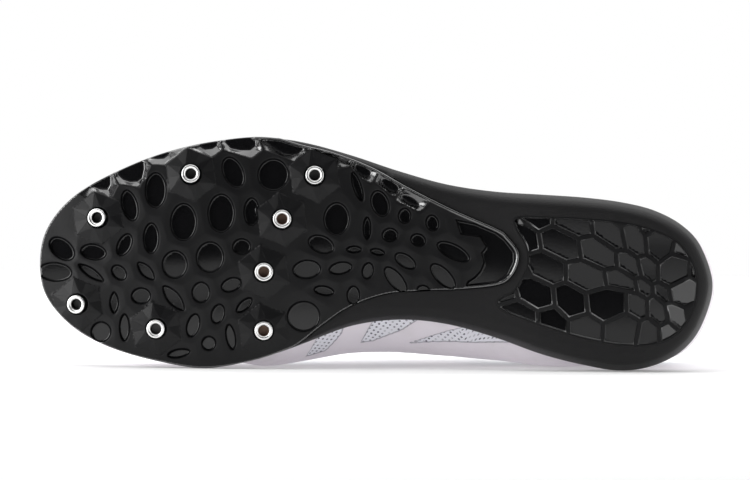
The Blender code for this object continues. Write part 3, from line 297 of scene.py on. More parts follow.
# Crossings of the heel plate's ribs and points past its edge, in pixels of the photograph
RIB_ENDS = {
    "a": (509.7, 212.0), "b": (538.6, 232.0), "c": (552.7, 225.9), "d": (541.3, 250.0), "e": (578.3, 238.5),
    "f": (566.2, 262.3), "g": (592.9, 235.7), "h": (581.1, 259.7), "i": (603.9, 270.0), "j": (606.4, 286.9),
    "k": (585.7, 292.9), "l": (565.6, 282.0), "m": (616.9, 267.6), "n": (553.1, 286.4), "o": (531.5, 275.9),
    "p": (625.5, 250.0), "q": (621.1, 227.3), "r": (645.1, 236.2), "s": (646.5, 254.7), "t": (636.9, 257.5),
    "u": (671.1, 254.0), "v": (657.6, 263.4), "w": (689.3, 276.9), "x": (668.3, 287.2), "y": (657.8, 281.8),
    "z": (615.8, 251.0), "A": (554.8, 306.0), "B": (537.9, 310.4), "C": (518.5, 299.1), "D": (514.6, 283.2),
    "E": (587.6, 313.4), "F": (568.5, 319.0), "G": (603.1, 323.0), "H": (634.6, 279.0), "I": (637.1, 293.0),
    "J": (625.8, 290.9), "K": (626.2, 313.0), "L": (646.7, 299.0), "M": (647.0, 316.8), "N": (639.5, 320.8),
    "O": (658.7, 326.0), "P": (667.9, 321.5), "Q": (652.8, 294.8), "R": (664.3, 304.1), "S": (671.3, 302.5),
    "T": (684.9, 307.4), "U": (641.1, 276.6), "V": (652.1, 284.6), "W": (632.7, 218.9), "X": (677.7, 215.2),
    "Y": (678.0, 222.5), "Z": (688.6, 258.9), "n1": (552.7, 209.2), "n2": (590.1, 209.2),
    "n3": (596.1, 209.2), "n4": (646.1, 209.2), "n5": (652.8, 209.2), "e1": (698.4, 240.1),
    "e2": (698.2, 261.5), "e3": (702.0, 284.3), "e4": (704.3, 298.3), "e5": (688.3, 325.3),
    "e6": (681.3, 332.3), "s1": (658.8, 349.2), "s2": (634.3, 349.2), "s3": (602.0, 345.3),
    "s4": (568.0, 336.2), "s5": (538.1, 328.5), "w1": (484.5, 314.4), "w2": (499.2, 304.6),
    "w3": (490.8, 296.2), "w4": (502.0, 288.5), "w5": (499.2, 229.6), "w6": (524.5, 255.2),
    "w7": (525.9, 264.0), "w8": (518.2, 278.0),
}
# Tiles by the rib crossings round them, with the tilt of each floor in degrees
HEEL_TILES = [
    ("a n1 c b", -4.5), ("a b d w6 w5", -4.5), ("n1 n2 g e c", 2.2), ("b c e h f d", 1.3),
    ("w6 d f l n o w7", 0.5), ("e g z m i h", 2.5), ("f h i j k l", 2.5), ("i m H I j", 2.5),
    ("o n A B C D w8", -1.7), ("n l k E F A", -1.5), ("k j J K G E", -1.0), ("J I L M N K", 1.0),
    ("H U V Q L I", 2.5), ("L Q R P O M", 3.5), ("G K N s2 s3", -0.6), ("N M O s1 s2", 0.5),
    ("V y x S R Q", 3.0), ("R S T e5 e6 P", 6.5), ("O P e6 s1", 6.5), ("F E G s3 s4", -0.5),
    ("B A F s4 s5", -3.5), ("C B s5 w1 w2", -1.3), ("D C w2 w3 w4", 2.0), ("n2 n3 q p z g", 2.5),
    ("n3 n4 q", 3.5), ("q W r s t p", 3.0), ("r W n5 X", 5.0), ("r X Y u v s", 4.5), ("u Y e1 e2", 7.0),
    ("v u Z w x y", 5.0), ("Z e2 e3 w", 6.5), ("x w e3 e4 T S", 7.0), ("t s v y V U", 3.5),
    ("z p t U H m", 2.5),
]
# Heel tile floors tilted past this many degrees get the copy with painted light
PAINTED_LIGHT_TILT = 6.0

# Insole
INSOLE_INSET = 4.6
INSOLE_THICK = 3.0
INSOLE_POINTS = 200
INSOLE_EDGE_SHARE = 0.45
INSOLE_EDGE = (-0.5, 3.0)
INSOLE_MARGIN = 1.0

# Upper: sections along the last
WALL = 1.8
STEP = 0.6
FEATHER_INSET = 1.2
TOE_ROUND = 26.0
HEEL_ROUND = 20.0
LAST = table("along ridge ridge_height medial_out lateral_out widest power", [
    (-143.0, 3.6, 38.0, 0.7, 0.7, 8.0, 2.2), (-128.0, 3.2, 43.0, 0.6, 0.6, 8.0, 2.2),
    (-110.0, 2.4, 46.0, 0.2, 0.4, 9.0, 2.2), (-92.0, 1.8, 50.0, -0.6, 0.2, 10.0, 2.15),
    (-72.0, 2.0, 55.0, -2.2, 0.0, 12.0, 2.1), (-60.0, 2.4, 58.5, -1.2, 0.0, 13.0, 2.05),
    (-50.0, 2.8, 62.0, 2.6, 0.2, 14.5, 2.0), (-40.0, 3.2, 65.2, 5.6, 0.3, 17.0, 2.0),
    (-28.0, 3.8, 69.0, 8.2, 0.4, 19.5, 2.0), (-12.0, 4.8, 75.0, 11.4, 0.4, 22.0, 1.95),
    (8.0, 6.0, 82.0, 13.9, 0.3, 23.0, 1.9), (24.0, 7.2, 88.0, 14.2, 0.2, 22.0, 1.9),
    (38.0, 8.4, 95.0, 12.6, 0.0, 19.0, 1.9), (52.0, 9.4, 106.0, 9.6, -0.4, 15.0, 1.95),
    (66.0, 10.4, 118.0, 6.2, -0.6, 11.0, 2.3), (80.0, 11.4, 128.0, 2.8, -0.6, 9.0, 2.4),
    (96.0, 12.2, 136.0, -1.0, -0.2, 8.0, 2.2), (112.0, 12.6, 140.0, -1.6, 0.2, 8.0, 2.1),
    (128.0, 12.7, 140.0, 0.4, 0.6, 10.0, 2.0), (143.0, 12.7, 140.0, 0.8, 0.8, 12.0, 2.0),
])
THROAT = table("along half_gap", [
    (-44.0, 0.0), (-42.5, 3.4), (-39.0, 6.4), (-20.0, 9.0), (10.0, 12.0), (36.0, 14.5),
])
THROAT_START = -44.0
COLLAR_START = 36.0
COLLAR = table("along height", [
    (36.0, 89.0), (46.0, 80.5), (60.0, 70.5), (76.0, 65.0), (92.0, 66.0), (110.0, 72.0), (128.0, 80.0),
    (143.0, 85.0),
])
HEEL_CURVE = table("up back", [(0.0, 0.0), (18.0, 2.0), (40.0, 0.6), (66.0, -4.0), (130.0, -12.0)])
HEEL_CURVE_SPAN = (95.0, 142.0)
SLANT = 12.0
SLANT_SPAN = (-39.0, 63.7)
SLANT_EASE = (8.0, 30.0)
SECTION_POINTS = 60
SHARE_SAMPLES = 81
END_STRETCH = 24.0
END_SAMPLES = 26
END_STATIONS = 18
END_SLACK = 0.01
TOE_NORMAL = (-0.94, 0.0, 0.34)

# Film over mesh on the upper, by place along and length up the wall
SADDLES = ((-13.0, 2.8), (21.0, 43.2))
EYESTAY_EDGE = 0.855
TOE_FILM = (-116.0, 0.011)
FILM_TOP = table("along up", [
    (-143.0, 22.0), (-100.0, 27.0), (-60.0, 29.0), (-24.0, 29.0), (0.0, 29.0), (30.0, 30.0), (52.0, 31.0),
    (66.0, 33.0), (100.0, 36.0), (143.0, 36.0),
])
WINDOWS = (
    ((-23.9, -2.0), (-13.3, -2.0), (-14.6, 4.0), (-21.8, 13.5), (-30.2, 13.5)),
    ((-0.3, -2.0), (21.0, -2.0), (11.0, 7.0), (-1.7, 13.5), (-7.0, 13.8)),
    ((41.6, -2.0), (64.0, -2.0), (40.0, 8.5), (24.0, 13.0), (12.0, 16.5)),
)
STEP_HALF = 0.5
STATION_PITCH = 1.5
STATION_CLEAR = 1.0
THROAT_STATIONS = (THROAT_START, -43.6, -43.0, -42.2, -41.0, -39.5)
THROAT_CLEAR = (1.0, 7.0)
SHARE_STEPS = 58
SHARE_HALF = 0.006
SHARE_CLEAR = 0.01
COLLAR_PAD = (1.1, 1.7)
COLLAR_PAD_DEPTH = 13.0
COLLAR_PAD_SPAN = (46.0, 64.0)
LIP_TURNS = np.linspace(0.0, math.pi, 7)
LIP_ROUND = 0.8
LIP_OPENING = 4.0

# Creases of wear: where, half length, half width, turn in degrees, depth; a negative depth is a ridge
VAMP_CREASES = [
    (-62.0, 9.0, 16.0, 2.6, 82.0, 0.75), (-54.0, 16.0, 13.0, 2.2, 74.0, 0.55),
    (-57.5, 12.0, 14.0, 2.0, 78.0, -0.45), (-72.0, 12.0, 12.0, 2.8, 88.0, 0.45),
    (-81.0, 6.0, 10.0, 3.0, 92.0, 0.3),
]
WALL_CREASES = [
    (-4.5, 7.0, 8.0, 1.3, 145.0, 0.3), (-2.5, 9.0, 8.0, 1.3, 145.0, -0.25),
    (29.0, 6.0, 9.0, 1.4, 158.0, 0.3), (-42.0, 8.0, 10.0, 1.6, 155.0, 0.3),
    (50.0, 40.0, 12.0, 3.0, 38.0, 0.65), (57.0, 34.0, 10.0, 2.6, 30.0, 0.45),
    (54.0, 38.0, 10.0, 2.2, 34.0, -0.35), (12.0, 40.0, 10.0, 3.2, 62.0, 0.4),
    (98.0, 44.0, 9.0, 2.8, 18.0, 0.4), (84.0, 22.0, 12.0, 2.4, 8.0, 0.3),
    (108.0, 14.0, 12.0, 2.2, 170.0, 0.25),
]
CREASE_FADE = (0.7, 0.92)

# Tongue, eyelets and lace
TONGUE = table("along half_width", [(-52.0, 10.0), (-20.0, 19.0), (36.0, 24.0), (51.0, 24.0)])
TONGUE_ROWS = 60
TONGUE_COLUMNS = 36
TONGUE_UNDER = 3.1
TONGUE_THICK = 3.6
TONGUE_ROUND = (-0.5, 3.0)
TONGUE_PINCH = 0.35
EYELETS = 6
EYELET_SPAN = (-35.0, 29.0)
EYELET_MARGIN = 5.5
EYELET_RADIUS = 2.1
EYELET_SIDES = 24
EYELET_PEG_WALLS = 4
LACE_WIDTH = 5.0
LACE_THICK = 1.2
LACE_OVER = 2.9
LACE_STEPS = 18
LACE_RISE = 0.9
LACE_DIVE = (1.5, 0.2, -1.1, -2.3)
LACE_PINCH = 0.62
LACE_CORNERS = 12
LACE_POWERS = (0.5, 0.8)
LACE_SINK = 0.9
LACE_SINK_SHARE = 0.2
LACE_START_SHARE = 0.9
ARC_STEP = 0.5
ARC_ANGLE_STEP = 0.02

# Looks of the upper, in millimetres and linear colours; a pair or four is a smooth spread's limits
FILM_COLOUR = (0.765, 0.718, 0.772)
FILM_ROUGHNESS = 0.42
MESH_COLOUR = (0.83, 0.825, 0.885)
# The mesh's holes, and faintly the gaps between its threads, are painted this dark as the shade seen
# through them
HOLE_SHADE_COLOUR = (0.1, 0.095, 0.13)
HOLE_PITCH = 2.1
HOLE_TURN = 32.0
HOLE_EDGE = (0.29, 0.16)
HOLE_PATCHES = (0.3, 0.6, 0.25, 1.0)
HOLE_PATCH_SCALE = 260.0
THREAD_PITCH = 0.7
THREAD_SHADE = (0.2, 0.6, 0.0, 0.06)
MESH_EDGE = (-0.12, 0.12)
MESH_ROUGHNESS = 0.85
# Thin dark line just on the mesh side of the film's edge, painted as the shade cast by the film's raised
# step
STEP_SHADE_COLOUR = (0.3, 0.285, 0.33)
STEP_SHADE_SHIFT = -0.1
STEP_SHADE_WIDTH = (0.4, 0.12)
STEP_SHADE_SHARE = 0.75
DIRT_COLOUR = (0.5, 0.47, 0.45)
DIRT_GRAIN = (60.0, 6.0)
DIRT_SPREAD = (0.5, 0.75)
DIRT_HEIGHT = (14.0, 0.0, 0.1, 0.4)
FILM_GRAIN = 1500.0
FILM_GRAIN_SHARE = 0.25
UPPER_BUMP = (0.5, 0.0005)
WRAP_START = 100.0
STITCH_COLOUR = (0.55, 0.54, 0.57)
STITCH_INSET = 2.2
STITCH_START = 26.0
STITCH_PITCH = 2.6
STITCH_RISE = 2.0
STITCH_WIDTH = (0.4, 0.2)
DASH_START = (0.05, 0.15)
DASH_END = (0.8, 0.65)

# Other looks: grain is a noise scale and detail, bump a strength and a depth in metres
LACE_COLOUR = (0.78, 0.77, 0.79)
LACE_THREAD = (0.8, 0.79, 0.81)
# Grooves of the weave are painted this darker as shade
LACE_GROOVE_SHADE_COLOUR = (0.42, 0.41, 0.45)
LACE_GROOVE_SHADE = (0.1, 0.5, 0.0, 0.4)
LACE_ROUGHNESS = 0.8
LACE_WEAVE = 1.1
LACE_CHEVRON = 1.4
LACE_BUMP = (0.6, 0.0004)
FOAM_COLOUR = (0.0115, 0.0113, 0.0117)
FOAM_ROUGHNESS = 0.5
FOAM_SPECULAR = 0.16
FOAM_GRAIN = (1400.0, 4.0)
FOAM_BUMP = (0.25, 0.0006)
CLOTH_ROUGHNESS = 0.85
CLOTH_RANDOM = 0.35
# Gaps between threads are painted darker as shade
CLOTH_GAPS = (0.3, 0.75, 0.0, 0.55)
CLOTH_WEAR = (0.4, 0.75, 0.0, 0.3)
CLOTH_WEAR_GRAIN = (45.0, 5.0)
CLOTH_DARK = 0.45
CLOTH_NAP = 2600.0
CLOTH_SHEEN = 0.15
CLOTH_BUMP = (0.5, 0.0005)
METAL_GRAIN = 2500.0
METAL_BUMP = (0.05, 0.0003)
MOULDED_COLOUR = (0.0036, 0.0036, 0.004)
MOULDED_GRAIN = 1800.0
MOULDED_BUMP_DEPTH = 0.0004
COAT_ROUGHNESS = 0.12
# Moulded blacks by roughness, specular level, strength of grain and coat
SATIN = (0.4, 0.24, 0.1, 0.0)
GLOSS = (0.06, 0.4, 0.015, 0.0)
# The next three looks are copies of the same black plastic that stand in for light and shade: the first
# reflects far more, as painted highlight on edge facets, the rim and heel tile walls; the second reflects
# almost nothing, as painted shade on recess walls; the third reflects more, as painted light on the more
# tilted heel tile floors
PAINTED_HIGHLIGHT_BLACK = (0.2, 1.0, 0.02, 1.0)
PAINTED_SHADE_WALL = (0.6, 0.06, 0.1, 0.0)
PAINTED_LIGHT_FLOOR = (0.16, 0.85, 0.02, 0.0)
# Metals by colour and roughness, and cloths by colour and threads a metre
RIM_METAL = ((0.9, 0.9, 0.89), 0.3)
# The plain bore is coloured near black, far darker than bare metal, as painted shade inside the holes
SHADED_BORE_METAL = ((0.05, 0.05, 0.05), 0.4)
RUSTY_METAL = ((0.13, 0.088, 0.068), 0.5)
LINING_CLOTH = ((0.42, 0.42, 0.45), 1100.0)
FOOTBED_CLOTH = ((0.3, 0.3, 0.32), 800.0)
BINDING_CLOTH = ((0.62, 0.61, 0.64), 900.0)
TONGUE_CLOTH = ((0.66, 0.65, 0.69), 620.0)


# Curves and plans

def smooth(data, column, along):
    """Value of a table's column at each place along the shoe, on a smooth curve."""
    xs = data["along"]
    ys = data[column]
    slopes = np.gradient(ys, xs)
    at = np.clip(np.asarray(along, float), xs[0], xs[-1])
    k = np.clip(np.searchsorted(xs, at) - 1, 0, len(xs) - 2)
    width = xs[k + 1] - xs[k]
    t = (at - xs[k]) / width
    start = ys[k] * (1 + 2 * t) * (1 - t) ** 2 + slopes[k] * width * t * (1 - t) ** 2
    end = ys[k + 1] * t * t * (3 - 2 * t) - slopes[k + 1] * width * t * t * (1 - t)
    return start + end


def value_at(data, column, along):
    """One value of a table's column, on its smooth curve."""
    return float(smooth(data, column, along))


def ease(value, low, high):
    """Smooth step from 0 at low to 1 at high."""
    t = np.clip((np.asarray(value, float) - low) / (high - low), 0.0, 1.0)
    return t * t * (3 - 2 * t)


def unit(vectors):
    """Vectors made one long."""
    return vectors / np.maximum(np.linalg.norm(vectors, axis=-1, keepdims=True), FAINT)


def path_run(points):
    """Length along a path up to each of its points."""
    return np.concatenate([[0.0], np.cumsum(np.linalg.norm(np.diff(points, axis=0), axis=1))])


def even_loop(points, count):
    """Count points, evenly spaced, around a closed polyline."""
    ring = np.vstack([points, points[:1]])
    run = path_run(ring)
    at = np.linspace(0.0, run[-1], count, endpoint=False)
    return np.column_stack([np.interp(at, run, ring[:, k]) for k in range(2)])


def round_loop(points, count, fine=12):
    """Smooth closed loop through plan points."""
    p = np.array(points, float)
    before = np.roll(p, 1, axis=0)
    after = np.roll(p, -1, axis=0)
    beyond = np.roll(p, -2, axis=0)
    rows = []
    for t in np.linspace(0.0, 1.0, fine, endpoint=False):
        rows.append(0.5 * (2 * p + (after - before) * t + (2 * before - 5 * p + 4 * after - beyond) * t ** 2
                           + (3 * p - before - 3 * after + beyond) * t ** 3))
    dense = np.stack(rows, axis=1).reshape(-1, 2)
    return even_loop(dense, count)


def loop_sign(loop):
    """1 for a loop that turns from x towards y, -1 for the other way round."""
    after = np.roll(loop, -1, axis=0)
    return np.sign(np.sum(loop[:, 0] * after[:, 1] - after[:, 0] * loop[:, 1]))


def inward(loop):
    """Unit normals that point into a loop."""
    along = np.roll(loop, -1, axis=0) - np.roll(loop, 1, axis=0)
    return unit(np.column_stack([-along[:, 1], along[:, 0]]) * loop_sign(loop))


def inset_loop(loop, distance):
    """Loop moved inwards by a distance, or by one distance a point."""
    return loop + inward(loop) * np.reshape(distance, (-1, 1))


def depth_inside(points, loop):
    """Distance of each plan point from a loop's edge, positive inside."""
    start = loop
    edge = np.roll(loop, -1, axis=0) - loop
    away = points[:, None, :] - start[None]
    share = np.clip((away * edge).sum(2) / (edge * edge).sum(1), 0.0, 1.0)
    gap = np.linalg.norm(away - share[..., None] * edge, axis=2).min(axis=1)
    straddles = (start[:, 1] > points[:, 1:2]) != (start[:, 1] + edge[:, 1] > points[:, 1:2])
    rise = np.where(edge[:, 1] == 0.0, 1.0, edge[:, 1])
    crossing = start[:, 0] + (points[:, 1:2] - start[:, 1]) * edge[:, 0] / rise
    inside = (straddles & (points[:, 0:1] < crossing)).sum(1) % 2 == 1
    return np.where(inside, gap, -gap)


def edge_depth(points, loop):
    """Distance inside a long loop, worked out a block of points at a time."""
    starts = range(0, len(points), POINT_BLOCK)
    return np.concatenate([depth_inside(points[k:k + POINT_BLOCK], loop) for k in starts])


def oval(along, across, half_along, half_across, turn, power, count):
    """Superellipse loop in plan."""
    angle = np.linspace(0.0, 2 * math.pi, count, endpoint=False)
    c = np.cos(angle)
    s = np.sin(angle)
    x = half_along * np.sign(c) * np.abs(c) ** (2 / power)
    y = half_across * np.sign(s) * np.abs(s) ** (2 / power)
    a = math.radians(turn)
    return np.column_stack([along + x * math.cos(a) - y * math.sin(a),
                            across + x * math.sin(a) + y * math.cos(a)])


SOLE_RING = [TOE_TIP]
SOLE_RING += list(zip(SOLE["along"], SOLE["medial"]))
SOLE_RING += [HEEL_TIP]
SOLE_RING += list(zip(SOLE["along"], SOLE["lateral"]))[::-1]
SOLE_FINE = round_loop(SOLE_RING, SOLE_FINE_POINTS)
FEATHER_FINE = inset_loop(SOLE_FINE, FEATHER_INSET)
TOE_END = float(FEATHER_FINE[:, 0].min())
HEEL_END = float(FEATHER_FINE[:, 0].max())


def loop_edge(loop, side, along):
    """Across position of a loop's medial or lateral edge at places along the shoe."""
    toe = int(np.argmin(loop[:, 0]))
    ring = np.roll(loop, -toe, axis=0)
    heel = int(np.argmax(ring[:, 0]))
    if side == MEDIAL:
        part = ring[:heel + 1]
    else:
        part = np.vstack([ring[heel:], ring[:1]])[::-1]
    return np.interp(along, part[:, 0], part[:, 1])


def sole_middle(along):
    """Middle of the sole, across, at places along the shoe."""
    return 0.5 * (loop_edge(SOLE_FINE, MEDIAL, along) + loop_edge(SOLE_FINE, LATERAL, along))


def bottom(points):
    """Height of the tread's crest surface over plan points."""
    x = points[:, 0]
    spring = SPRING_CURVE * np.maximum(SPRING_START - x, 0.0) ** 2
    share = np.clip((x - ARCH_SPAN[0]) / (ARCH_SPAN[1] - ARCH_SPAN[0]), 0.0, 1.0)
    arch = ARCH_RISE * np.sin(math.pi * share) ** 2
    bevel = BEVEL_CURVE * np.maximum(x - BEVEL_START, 0.0) ** 2
    crown = smooth(CROWN, "curve", x) * (points[:, 1] - sole_middle(x)) ** 2
    return spring + arch + bevel + crown


def bottom_normal(x, y):
    """Unit normal of the crest surface, pointing up into the shoe."""
    reach = 0.5
    spots = np.array([(x + reach, y), (x - reach, y), (x, y + reach), (x, y - reach)])
    z = bottom(spots)
    normal = Vector((-(z[0] - z[1]) / (2 * reach), -(z[2] - z[3]) / (2 * reach), 1.0))
    return normal.normalized()


# Mesh helpers

def left_handed(loop):
    """Loop in the order that keeps its inside on the left."""
    return loop if loop_sign(loop) > 0.0 else loop[::-1]


def triangulate(outline, spots, links, wells):
    """Plan triangles inside an outline, outside the wells, with the links kept as edges."""
    points = [left_handed(outline)]
    faces = [list(range(len(outline)))]
    count = len(outline)
    for well in wells:
        points.append(left_handed(well))
        faces.append(list(range(count, count + len(well))))
        count += len(well)
    edges = []
    if len(links):
        ends = np.array(links).reshape(-1, 2)
        points.append(ends)
        edges = [(count + k, count + k + 1) for k in range(0, len(ends), 2)]
    points.append(np.reshape(spots, (-1, 2)))
    plan = [Vector(p) for p in np.vstack(points)]
    verts, _, found, _, _, sources = delaunay_2d_cdt(plan, edges, faces, 0, PLAN_SLACK)
    kept = [face for face, source in zip(found, sources) if source == [0]]
    return np.array([tuple(v) for v in verts]), kept


def rim_loops(faces):
    """Ordered vertex loops around the open edges of a set of faces."""
    follow = set()
    for face in faces:
        follow.update(zip(face, face[1:] + face[:1]))
    chain = {start: end for start, end in follow if (end, start) not in follow}
    loops = []
    while chain:
        start, at = chain.popitem()
        loop = [start]
        while at != start:
            loop.append(at)
            at = chain.pop(at)
        loops.append(loop)
    return loops


def strip(low, high):
    """Quads between two closed rings of points."""
    count = len(low)
    faces = []
    for k in range(count):
        n = (k + 1) % count
        faces.append((k, n, count + n, count + k))
    return np.vstack([low, high]), faces


def grid_patch(grid):
    """Points and quads of a grid."""
    rows, columns = grid.shape[:2]
    faces = []
    for i in range(rows - 1):
        for j in range(columns - 1):
            k = i * columns + j
            faces.append((k, k + 1, k + columns + 1, k + columns))
    return grid.reshape(-1, 3), faces


def new_object(name, data):
    """Object in the scene for a mesh, light or camera."""
    made = bpy.data.objects.new(name, data)
    bpy.context.scene.collection.objects.link(made)
    return made


def finished(name, mesh):
    """Object made from a mesh in the making."""
    data = bpy.data.meshes.new(name)
    mesh.to_mesh(data)
    mesh.free()
    return new_object(name, data)


def make_object(name, patches, looks, values=None, sharp=None):
    """One closed object, laid on its side and flat on the floor, from patches that meet at their edges.

    values maps an attribute's name to one array a patch, and a patch may name its material number.
    """
    mesh = bmesh.new()
    layers = {key: mesh.verts.layers.float.new(key) for key in (values or {})}
    for number, patch in enumerate(patches):
        points, faces = patch[0], patch[1]
        slot = patch[2] if len(patch) > 2 else 0
        verts = [mesh.verts.new(Vector(p)) for p in points]
        for key, layer in layers.items():
            for vert, value in zip(verts, values[key][number]):
                vert[layer] = value
        for face in faces:
            mesh.faces.new([verts[k] for k in face]).material_index = slot
    bmesh.ops.remove_doubles(mesh, verts=mesh.verts, dist=WELD)
    bmesh.ops.dissolve_degenerate(mesh, edges=mesh.edges, dist=WELD)
    bmesh.ops.delete(mesh, geom=[v for v in mesh.verts if not v.link_faces], context="VERTS")
    bmesh.ops.recalc_face_normals(mesh, faces=mesh.faces)
    if mesh.calc_volume(signed=True) < 0.0:
        bmesh.ops.reverse_faces(mesh, faces=mesh.faces)
    for face in mesh.faces:
        face.smooth = True
    if sharp:
        for edge in mesh.edges:
            edge.smooth = not sharp(edge)
    bmesh.ops.transform(mesh, matrix=LYING, verts=mesh.verts)
    bmesh.ops.scale(mesh, vec=(MM, MM, MM), verts=mesh.verts)
    for vert in mesh.verts:
        vert.co.z = max(vert.co.z, 0.0)
    shape = finished(name, mesh)
    for look in looks:
        shape.data.materials.append(look)
    return shape


def wear(shape, slot, *nodes):
    """Puts a finished piece in the place of its solids."""
    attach(shape, "root")
    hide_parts(*nodes)


def raised(plan, height):
    """Plan points with their heights."""
    return np.column_stack([plan, height(plan)])


def hex_spots(outline, margin, pitch):
    """Even triangular grid of plan points that keep a margin to an outline."""
    low = outline.min(axis=0)
    high = outline.max(axis=0)
    rows = np.arange(low[1], high[1], pitch * math.cos(math.pi / 6))
    spots = []
    for number, y in enumerate(rows):
        xs = np.arange(low[0] + pitch * 0.5 * (number % 2), high[0], pitch)
        spots.append(np.column_stack([xs, np.full(len(xs), y)]))
    spots = np.vstack(spots)
    return spots[edge_depth(spots, outline) > margin]


def near_loop(points, loop):
    """Numbers of the points within reach of a recess's middle."""
    return np.flatnonzero(np.abs(points - loop.mean(axis=0)).max(axis=1) < CELL_REACH)


def clear_of(spots, loops, margin):
    """Plan points that keep a margin to the rims of all the loops."""
    clear = np.ones(len(spots), bool)
    for loop in loops:
        near = near_loop(spots, loop)
        clear[near] &= np.abs(depth_inside(spots[near], loop)) > margin
    return spots[clear]


def sunk_share(points, loop, lip, foot, shift, ring):
    """Distance inside a recess's rim, and the share of its depth: its floor lies a little to one side."""
    inside = depth_inside(points, loop)
    reach = np.maximum(inside - lip, 0.0)
    short = np.maximum(ring - depth_inside(points - np.array(shift), loop), 0.0)
    return inside, np.minimum(ease(inside, lip, foot), reach / (reach + short + TINY))


def inner_links(loop, outline, margin=LINK_MARGIN):
    """Edges of a loop that lie well inside an outline."""
    deep = depth_inside(loop, outline) > margin
    ahead = np.roll(loop, -1, axis=0)
    both = deep & np.roll(deep, -1)
    return [(a, b) for a, b, keep in zip(loop, ahead, both) if keep]


def slab(name, looks, outline, under, over, spots, links=(), wells=(), rings=None, mark=None, sharp=None):
    """Solid between two height functions, with relief below, wells, and rings up its side."""
    plan, faces = triangulate(outline, spots, links, [w[0] for w in wells])
    face_points = raised(plan, under)
    middles = np.array([plan[f].mean(axis=0) for f in faces])
    slots = mark(middles) if mark else np.zeros(len(faces), int)
    patches = [(face_points, [f for f, s in zip(faces, slots) if s == slot], slot)
               for slot in range(len(looks))]
    rims = sorted(rim_loops(faces), key=lambda loop: -np.ptp(plan[loop][:, 0]))
    edge = plan[rims[0]]
    side = [raised(edge, under)]
    side += rings(edge) if rings else [raised(edge, over)]
    for low, high in zip(side, side[1:]):
        patches.append(strip(low, high))
    for rim in rims[1:]:
        mouth = raised(plan[rim], under)
        centre = plan[rim].mean(axis=0)
        nearest = min(wells, key=lambda w: np.linalg.norm(w[0].mean(axis=0) - centre))
        floor = mouth + np.array(nearest[1])
        patches.append(strip(mouth, floor))
        patches.append((floor, [tuple(range(len(floor)))]))
    top = side[-1][:, :2]
    lid, lid_faces = triangulate(top, hex_spots(top, COARSE_PITCH / 2, COARSE_PITCH), [], [])
    patches.append((raised(lid, over), lid_faces))
    return make_object(name, patches, looks, None, sharp)


# Spike plate

@functools.lru_cache(maxsize=None)
def plate_outline(extra=0.0):
    """Plate outline in plan, grown outwards by an extra margin."""
    edge = inset_loop(SOLE_FINE, PLATE_INSET)[::PLATE_EDGE_STRIDE]
    split = int(np.argmax(edge[:, 0]))
    medial = [p for p in edge[:split] if p[0] < PLATE_FRONT_END]
    lateral = [p for p in edge[split:] if p[0] < PLATE_FRONT_END]
    loop = round_loop(medial + PLATE_REAR + lateral, PLATE_POINTS, PLATE_CURVE_STEPS)
    return inset_loop(loop, -extra)


def on_plan(pixels):
    """Plan places, in millimetres, of points of the photograph."""
    return (np.array(pixels) - np.array(PLAN_CENTRE)) / PLAN_SCALE


@functools.lru_cache(maxsize=None)
def cell_loops():
    """Rim loop of every recess in the plate."""
    loops = []
    for row in zip(*CELLS.values()):
        girth = math.pi * (row[2] + row[3])
        loops.append(oval(*row, max(CELL_LEAST_POINTS, int(girth / CELL_STEP))))
    for pocket in EDGE_POCKETS:
        loops.append(dense_loop(on_plan(pocket), REAR_POCKET_STEP))
    loops.append(dense_loop(np.array(REAR_POCKET), REAR_POCKET_STEP))
    return loops


def at_edge(number):
    """Whether a recess is one of the pockets along the lateral edge."""
    count = len(CELLS["along"])
    return count - EDGE_CELLS <= number < count + len(EDGE_POCKETS)


def boss_ways():
    """Unit directions of a boss's tips and of the middles of its sides, in turn."""
    angle = np.radians(BOSS_TURN) + np.arange(2 * BOSS_ARMS) * math.pi / BOSS_ARMS
    return np.column_stack([np.cos(angle), np.sin(angle)])


def boss_lines(x, y):
    """Lines of a boss: its six sides, its narrow ridges and the valleys between them."""
    centre = np.array([x, y])
    ways = boss_ways()
    tips = centre + ways[0::2] * BOSS_TIP
    sides = centre + ways[1::2] * BOSS_FLAT
    lines = list(zip(centre + ways[1::2] * BOSS_LAND, sides))
    reach = math.sqrt(BOSS_LAND ** 2 - BOSS_RIDGE ** 2)
    for way, tip in zip(ways[0::2], tips):
        across = np.array([-way[1], way[0]]) * BOSS_RIDGE
        lines += [(centre + way * reach + across, tip), (centre + way * reach - across, tip)]
    return tips, lines


def boss_plane():
    """Plane of the facet between a ridge and a valley, as factors of (along the tip, aside, 1)."""
    half = math.pi / BOSS_ARMS
    corners = [(BOSS_TIP, 0.0, 1.0),
               (BOSS_FLAT * math.cos(half), BOSS_FLAT * math.sin(half), 1.0),
               (BOSS_LAND * math.cos(half), BOSS_LAND * math.sin(half), 1.0)]
    return np.linalg.solve(np.array(corners), np.array([BOSS_TIP_HEIGHT, BOSS_SIDE_HEIGHT, BOSS_HEIGHT]))


